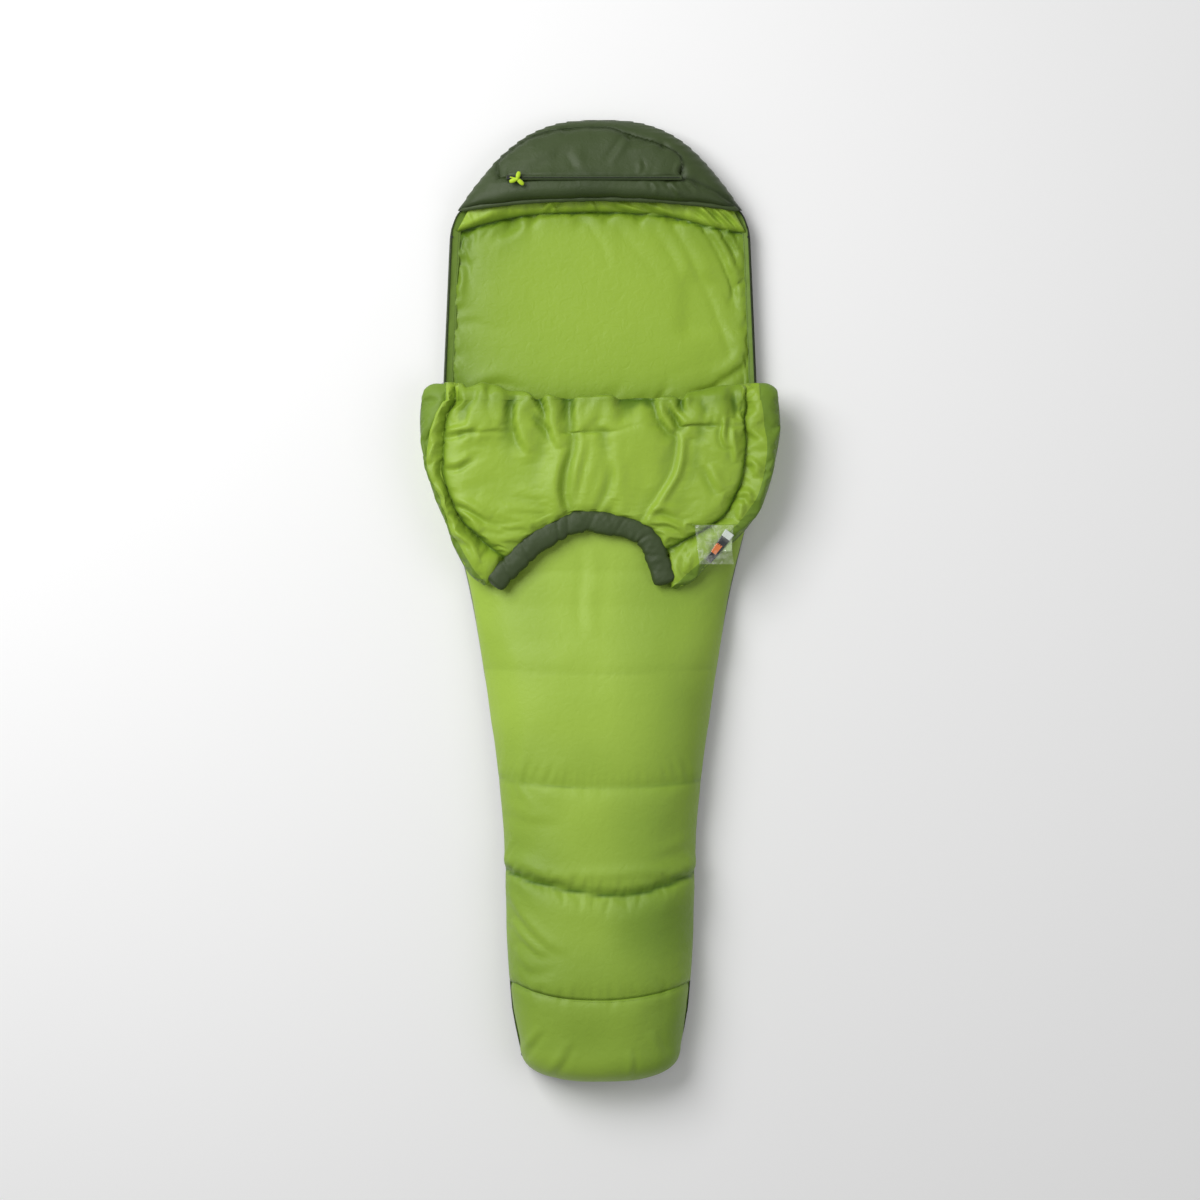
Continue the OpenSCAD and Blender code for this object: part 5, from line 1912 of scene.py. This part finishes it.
@dataclass
class Mouth:
    """The zips along the open mouth and down the flanks."""

    outline: Outline = field(default_factory=lambda: Outline("back_shell"))
    coil_z: float = 41 * MM

    def tape(self, name: str, line: Points, side: int, width: float) -> None:
        """Builds a mouth tape from the coil in to the lining.

        Args:
            name: name of the piece.
            line: the coil's line in plan.
            side: -1 for the left and 1 for the right.
            width: width of the tape.
        """
        step = np.gradient(line, axis=0)
        off = np.column_stack([-step[:, 1], step[:, 0]]) / np.linalg.norm(step, axis=1, keepdims=True)
        off *= np.sign(-side * off[:, :1])
        share = np.linspace(-0.06, 1, 11)
        wave = noise(line[:, 1], line[:, 1] * 0, 18 * MM, 103 + side)
        rows = []
        for k in share:
            place = line + off * k * width * (1 + 0.10 * wave * k)[:, None]
            drop = 1 - np.clip(k, 0, 1)
            z = 35 * MM + 5 * MM * drop**1.5 + 1.1 * MM * wave * np.sin(np.pi * np.clip(k, 0, 1))
            rows.append(np.column_stack([place, z]))
        grid = np.stack(rows, axis=1)
        under = grid.copy()
        under[..., 2] = 31 * MM
        piece = closed_sheet(f"{name}_zip_tape_cloth", grid, under)
        dress(piece, TAPE_GREEN, Body.BAG, (f"{name}_zip_tape",))
        seam = grid[2:-2, -3] + [0, 0, 0.5 * MM]
        thread = STITCH.along(f"{name}_zip_tape_stitches", [seam], THREAD_DARK.material())
        dress(thread, None, Body.BAG)

    def flank(self, name: str, side: int) -> None:
        """Builds the closed zip down one flank.

        Args:
            name: name of the side.
            side: -1 for the left and 1 for the right.
        """
        y = np.linspace(425, -214, 90) * MM
        rim = np.column_stack([self.outline.half(y) - 4 * MM * (1 - ease((y + 0.214) / 0.05)), y])
        rows = [np.column_stack([rim + [out * MM, 0], np.full(len(y), z * MM)])
                for z, out in ((12.5, 0.2), (15, 1.1), (23, 1.3), (31, 1.1), (33.5, 0.2))]
        grid = np.stack(rows, axis=1) * [side, 1, 1]
        inside = grid - [side * 1.2 * MM, 0, 0]
        piece = closed_sheet(f"{name}_side_zip_cloth", grid, inside)
        dress(piece, TAPE_GREEN, Body.BAG, (f"{name}_side_zip_tape",))
        path = np.column_stack([rim + [1.8 * MM, 0], np.full(len(y), 21 * MM)]) * [side, 1, 1]
        coil = FINE_COIL.along(f"{name}_side_zip_teeth", [path], ZIP_BLACK.material())
        dress(coil, None, Body.BAG, (f"{name}_side_zip_coil",))

    def build(self) -> None:
        """Builds and dresses the tapes and the coils."""
        for side, name, width in ((-1, "left", 19 * MM), (1, "right", 13 * MM)):
            line = smooth_path(ZIP_LINE, 150) * MM * [side, 1]
            self.tape(name, line, side, width)
            path = np.column_stack([line, np.full(len(line), self.coil_z)])
            coil = COIL.along(f"{name}_zip_coil_teeth", [path], ZIP_BLACK.material())
            dress(coil, None, Body.BAG, (f"{name}_zip_coil",))
            self.flank(name, side)


@dataclass
class Pocket:
    """The zip on the hood and its knotted pull."""

    y: float = 924 * MM
    left: float = -206 * MM
    right: float = 180 * MM
    coil_z: float = 111.2 * MM
    slider_x: float = -195 * MM

    def build(self) -> None:
        """Builds the tape, the coil and the pull."""
        x = np.linspace(self.left, self.right, 120)
        rows = [np.column_stack([x, np.full(120, self.y + off * MM), np.full(120, self.coil_z - 2.4 * MM)])
                for off in (-5, -3.5, 0, 3.5, 5)]
        grid = np.stack(rows)
        grid[[0, -1], :, 2] -= 1.2 * MM
        piece = closed_sheet("pocket_zip_tape_cloth", grid, grid - [0, 0, 6 * MM])
        dress(piece, TRIM_OLIVE, Body.BAG, ("pocket_zip_tape",))
        path = np.column_stack([x[2:-2], np.full(116, self.y), np.full(116, self.coil_z)])
        coil = FINE_COIL.along("pocket_zip_teeth", [path], ZIP_BLACK.material())
        dress(coil, None, Body.BAG, ("pocket_zip_coil",))
        self.pull()

    def pull(self) -> None:
        """Builds the cord pull: a short strap, a knot and three soft ends."""
        centre = np.array([self.slider_x, self.y, 116.5 * MM])
        knot = centre + [14 * MM, -4 * MM, 1 * MM]
        parts = [(centre - [2 * MM, 0, 0], knot, 1.7, 1.7)]
        for angle, length in ((75, 17), (200, 18), (318, 19)):
            way = np.array([math.cos(math.radians(angle)), math.sin(math.radians(angle)), 0])
            parts.append((knot + way * 1 * MM, knot + way * length * MM - [0, 0, 2.5 * MM], 3.4, 5.0))
        meshes = []
        for number, (a, b, slim, fat) in enumerate(parts):
            t = np.linspace(0, 1, 14)[:, None]
            path = a + (b - a) * t
            ends = np.clip(np.minimum(t[:, 0], 1 - t[:, 0]) / 0.1, 0.25, 1) ** 0.5
            radius = (slim + (fat - slim) * np.sin(np.pi * t[:, 0])) * ends
            meshes.append(tube(f"pull_part_{number}", path, radius * MM, 0.75 * radius * MM, 14))
        t = np.linspace(0, 1, 12)[:, None]
        ball = np.sqrt(np.maximum(1 - (2 * t[:, 0] - 1) ** 2, 0.02)) * 4.6 * MM
        path = knot + np.array([1.0, 0, 0]) * (t - 0.5) * 9 * MM
        meshes.append(tube("pull_knot", path, ball, ball, 14))
        thing = merged("pocket_cord_pull", meshes)
        dress(thing, PULL_LIME, Body.POCKET_PULL, ("pocket_pull",))


def merged(name: str, parts: Sequence[bpy.types.Object]) -> bpy.types.Object:
    """One object from several closed ones, which are removed.

    Args:
        name: name of the new object.
        parts: the closed objects.

    Returns:
        The new object, at the origin.
    """
    points, faces, uv = [], [], []
    first = 0
    for part in parts:
        mesh = part.data
        co = np.empty(3 * len(mesh.vertices), np.float32)
        mesh.vertices.foreach_get("co", co)
        points.append(co.reshape(-1, 3).astype(float))
        faces += [[first + v for v in face.vertices] for face in mesh.polygons]
        uv.append(points[-1][:, :2])
        first += len(mesh.vertices)
        bpy.data.objects.remove(part)
        bpy.data.meshes.remove(mesh)
    return mesh_object(name, np.vstack(points), faces, np.vstack(uv))


@dataclass
class Tag:
    """The clear sleeve that hangs on the flap, the plain card in it, and the care label beside it."""

    x: float = 206 * MM
    y: float = 164 * MM
    z: float = 133 * MM
    side: float = 86 * MM

    def build(self) -> None:
        """Builds the sleeve, the card and the label."""
        t = np.linspace(0, 1, 44)
        u, v = np.meshgrid(t, t)
        x, y = self.x + self.side * u, self.y - self.side * v
        fall = ease(v / 0.12)
        rise = (0.3 + 1.3 * fall * (1 + noise(x, y, 17 * MM, 111) + 0.5 * noise(x, y, 8 * MM, 112))) * MM
        lean = 1 - 0.25 * v * (1 - u) - 0.10 * np.sin(np.pi * v) * u
        top = np.dstack([self.x + self.side * (0.5 + (u - 0.5) * lean), y, self.z + 0.6 * MM + rise])
        bottom = top - [0, 0, 1 * MM]
        sleeve = closed_sheet("clear_tag_sleeve", top, bottom)
        dress(sleeve, Film(), Body.TAG, ("tag_sleeve",))
        self.card()
        self.label()

    def card(self) -> None:
        """Builds the folded card: a white head, a dark body and an orange band, with no lettering."""
        a, b = np.array([283, 148]) * MM, np.array([236, 84]) * MM
        way = (b - a) / np.linalg.norm(b - a)
        across = np.array([way[1], -way[0]])
        t, s = np.meshgrid(np.linspace(0, 1, 31), np.linspace(-1, 1, 9), indexing="ij")
        width = (11.5 - 4.5 * t) * MM
        plan = a + (b - a) * t[..., None] + across * (s * width)[..., None]
        z = self.z + 0.6 * MM + (1.2 * np.sin(np.pi * t) + 0.6 * s**2) * MM
        top = np.dstack([plan, z])
        card = closed_sheet("tag_card_folded", top, top - [0, 0, 0.5 * MM])
        card.data.materials.append(LABEL_WHITE.material())
        card.data.materials.append(CARD_BLACK.material())
        card.data.materials.append(CARD_ORANGE.material())
        for face in card.data.polygons:
            share = float(np.dot(np.array(face.center[:2]) - a, way) / np.linalg.norm(b - a))
            side = float(np.dot(np.array(face.center[:2]) - a, across))
            dark = 1 if share > 0.2 else 0
            face.material_index = 2 if 0.45 < share < 0.72 and side > -4 * MM else dark
        dress(card, None, Body.TAG, ("tag_card",))

    def label(self) -> None:
        """Builds the small white care label, curled a little."""
        t, s = np.meshgrid(np.linspace(0, 1, 15), np.linspace(0, 1, 15), indexing="ij")
        x, y = (258 + 30 * s) * MM, (136 - 30 * t) * MM
        z = (131.6 + 0.5 * np.sin(np.pi * s) ** 2 * t) * MM
        top = np.dstack([x, y, z])
        label = closed_sheet("care_label_cloth", top, top - [0, 0, 0.4 * MM])
        dress(label, LABEL_PALE, Body.FLAP, ("care_label",))


# ---------------------------------------------------------------- stage


@dataclass
class Studio:
    """Floor, lights and camera."""

    view_width: float = 2.628
    camera_height: float = 7.0
    object_height: float = 0.1

    def build(self) -> None:
        """Sets the stage."""
        scene = bpy.context.scene
        scene.view_settings.view_transform = "Standard"
        bpy.ops.mesh.primitive_plane_add(size=24, location=(0, 0, -0.4 * MM))
        floor = bpy.context.object
        floor.name = "floor"
        floor.data.materials.append(self.floor_material())
        world = bpy.data.worlds.new("studio")
        world.use_nodes = True
        world.node_tree.nodes["Background"].inputs["Color"].default_value = (1, 1, 1, 1)
        world.node_tree.nodes["Background"].inputs["Strength"].default_value = 0.29
        scene.world = world
        self.light("key", (-2.7, 2.3, 4.0), 3.4, 240)
        self.light("fill", (3.0, -0.5, 4.0), 3.0, 30)
        data = bpy.data.cameras.new("camera")
        data.sensor_width = 36
        data.lens = 36 * (self.camera_height - self.object_height) / self.view_width
        data.clip_end = 100
        camera = bpy.data.objects.new("camera", data)
        camera.location = (0, 0, self.camera_height)
        scene.collection.objects.link(camera)
        scene.camera = camera

    def floor_material(self) -> bpy.types.Material:
        """A plain pale floor.

        Returns:
            The material.
        """
        material = bpy.data.materials.new("floor")
        material.use_nodes = True
        shader = material.node_tree.nodes["Principled BSDF"]
        shader.inputs["Base Color"].default_value = (0.93, 0.93, 0.93, 1)
        shader.inputs["Roughness"].default_value = 0.9
        return material

    def light(self, name: str, place: tuple[float, float, float], size: float, power: float) -> None:
        """Adds a soft lamp that points at the bag's middle.

        Args:
            name: name of the lamp.
            place: where it hangs.
            size: side of its square face, in metres.
            power: its power, in watts.
        """
        data = bpy.data.lights.new(name, "AREA")
        data.size = size
        data.energy = power
        lamp = bpy.data.objects.new(name, data)
        lamp.location = place
        lamp.rotation_euler = (-Vector(place)).to_track_quat("-Z", "Y").to_euler()
        bpy.context.scene.collection.objects.link(lamp)


def finish_cad_nodes() -> None:
    """Gives the CAD nodes that stay shown their finishes."""
    metal = SLIDER_METAL.material()
    finishes = {
        "left_slider": metal, "right_slider": metal, "left_pull": metal, "right_pull": metal,
        "pocket_slider": metal, "zip_end_stops": metal,
        "tag_cord": THREAD_LIME.material(),
    }
    for node, material in finishes.items():
        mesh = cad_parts[node].data
        mesh.materials.clear()
        mesh.materials.append(material)


def main() -> None:
    """Builds the stage and every piece, in order."""
    logging.basicConfig(level=logging.INFO, format="%(message)s")
    Studio().build()
    Back().build()
    Top().build()
    Hood().build()
    Mouth().build()
    Pocket().build()
    Flap().build()
    Tag().build()
    finish_cad_nodes()


if __name__ == "__main__":
    main()
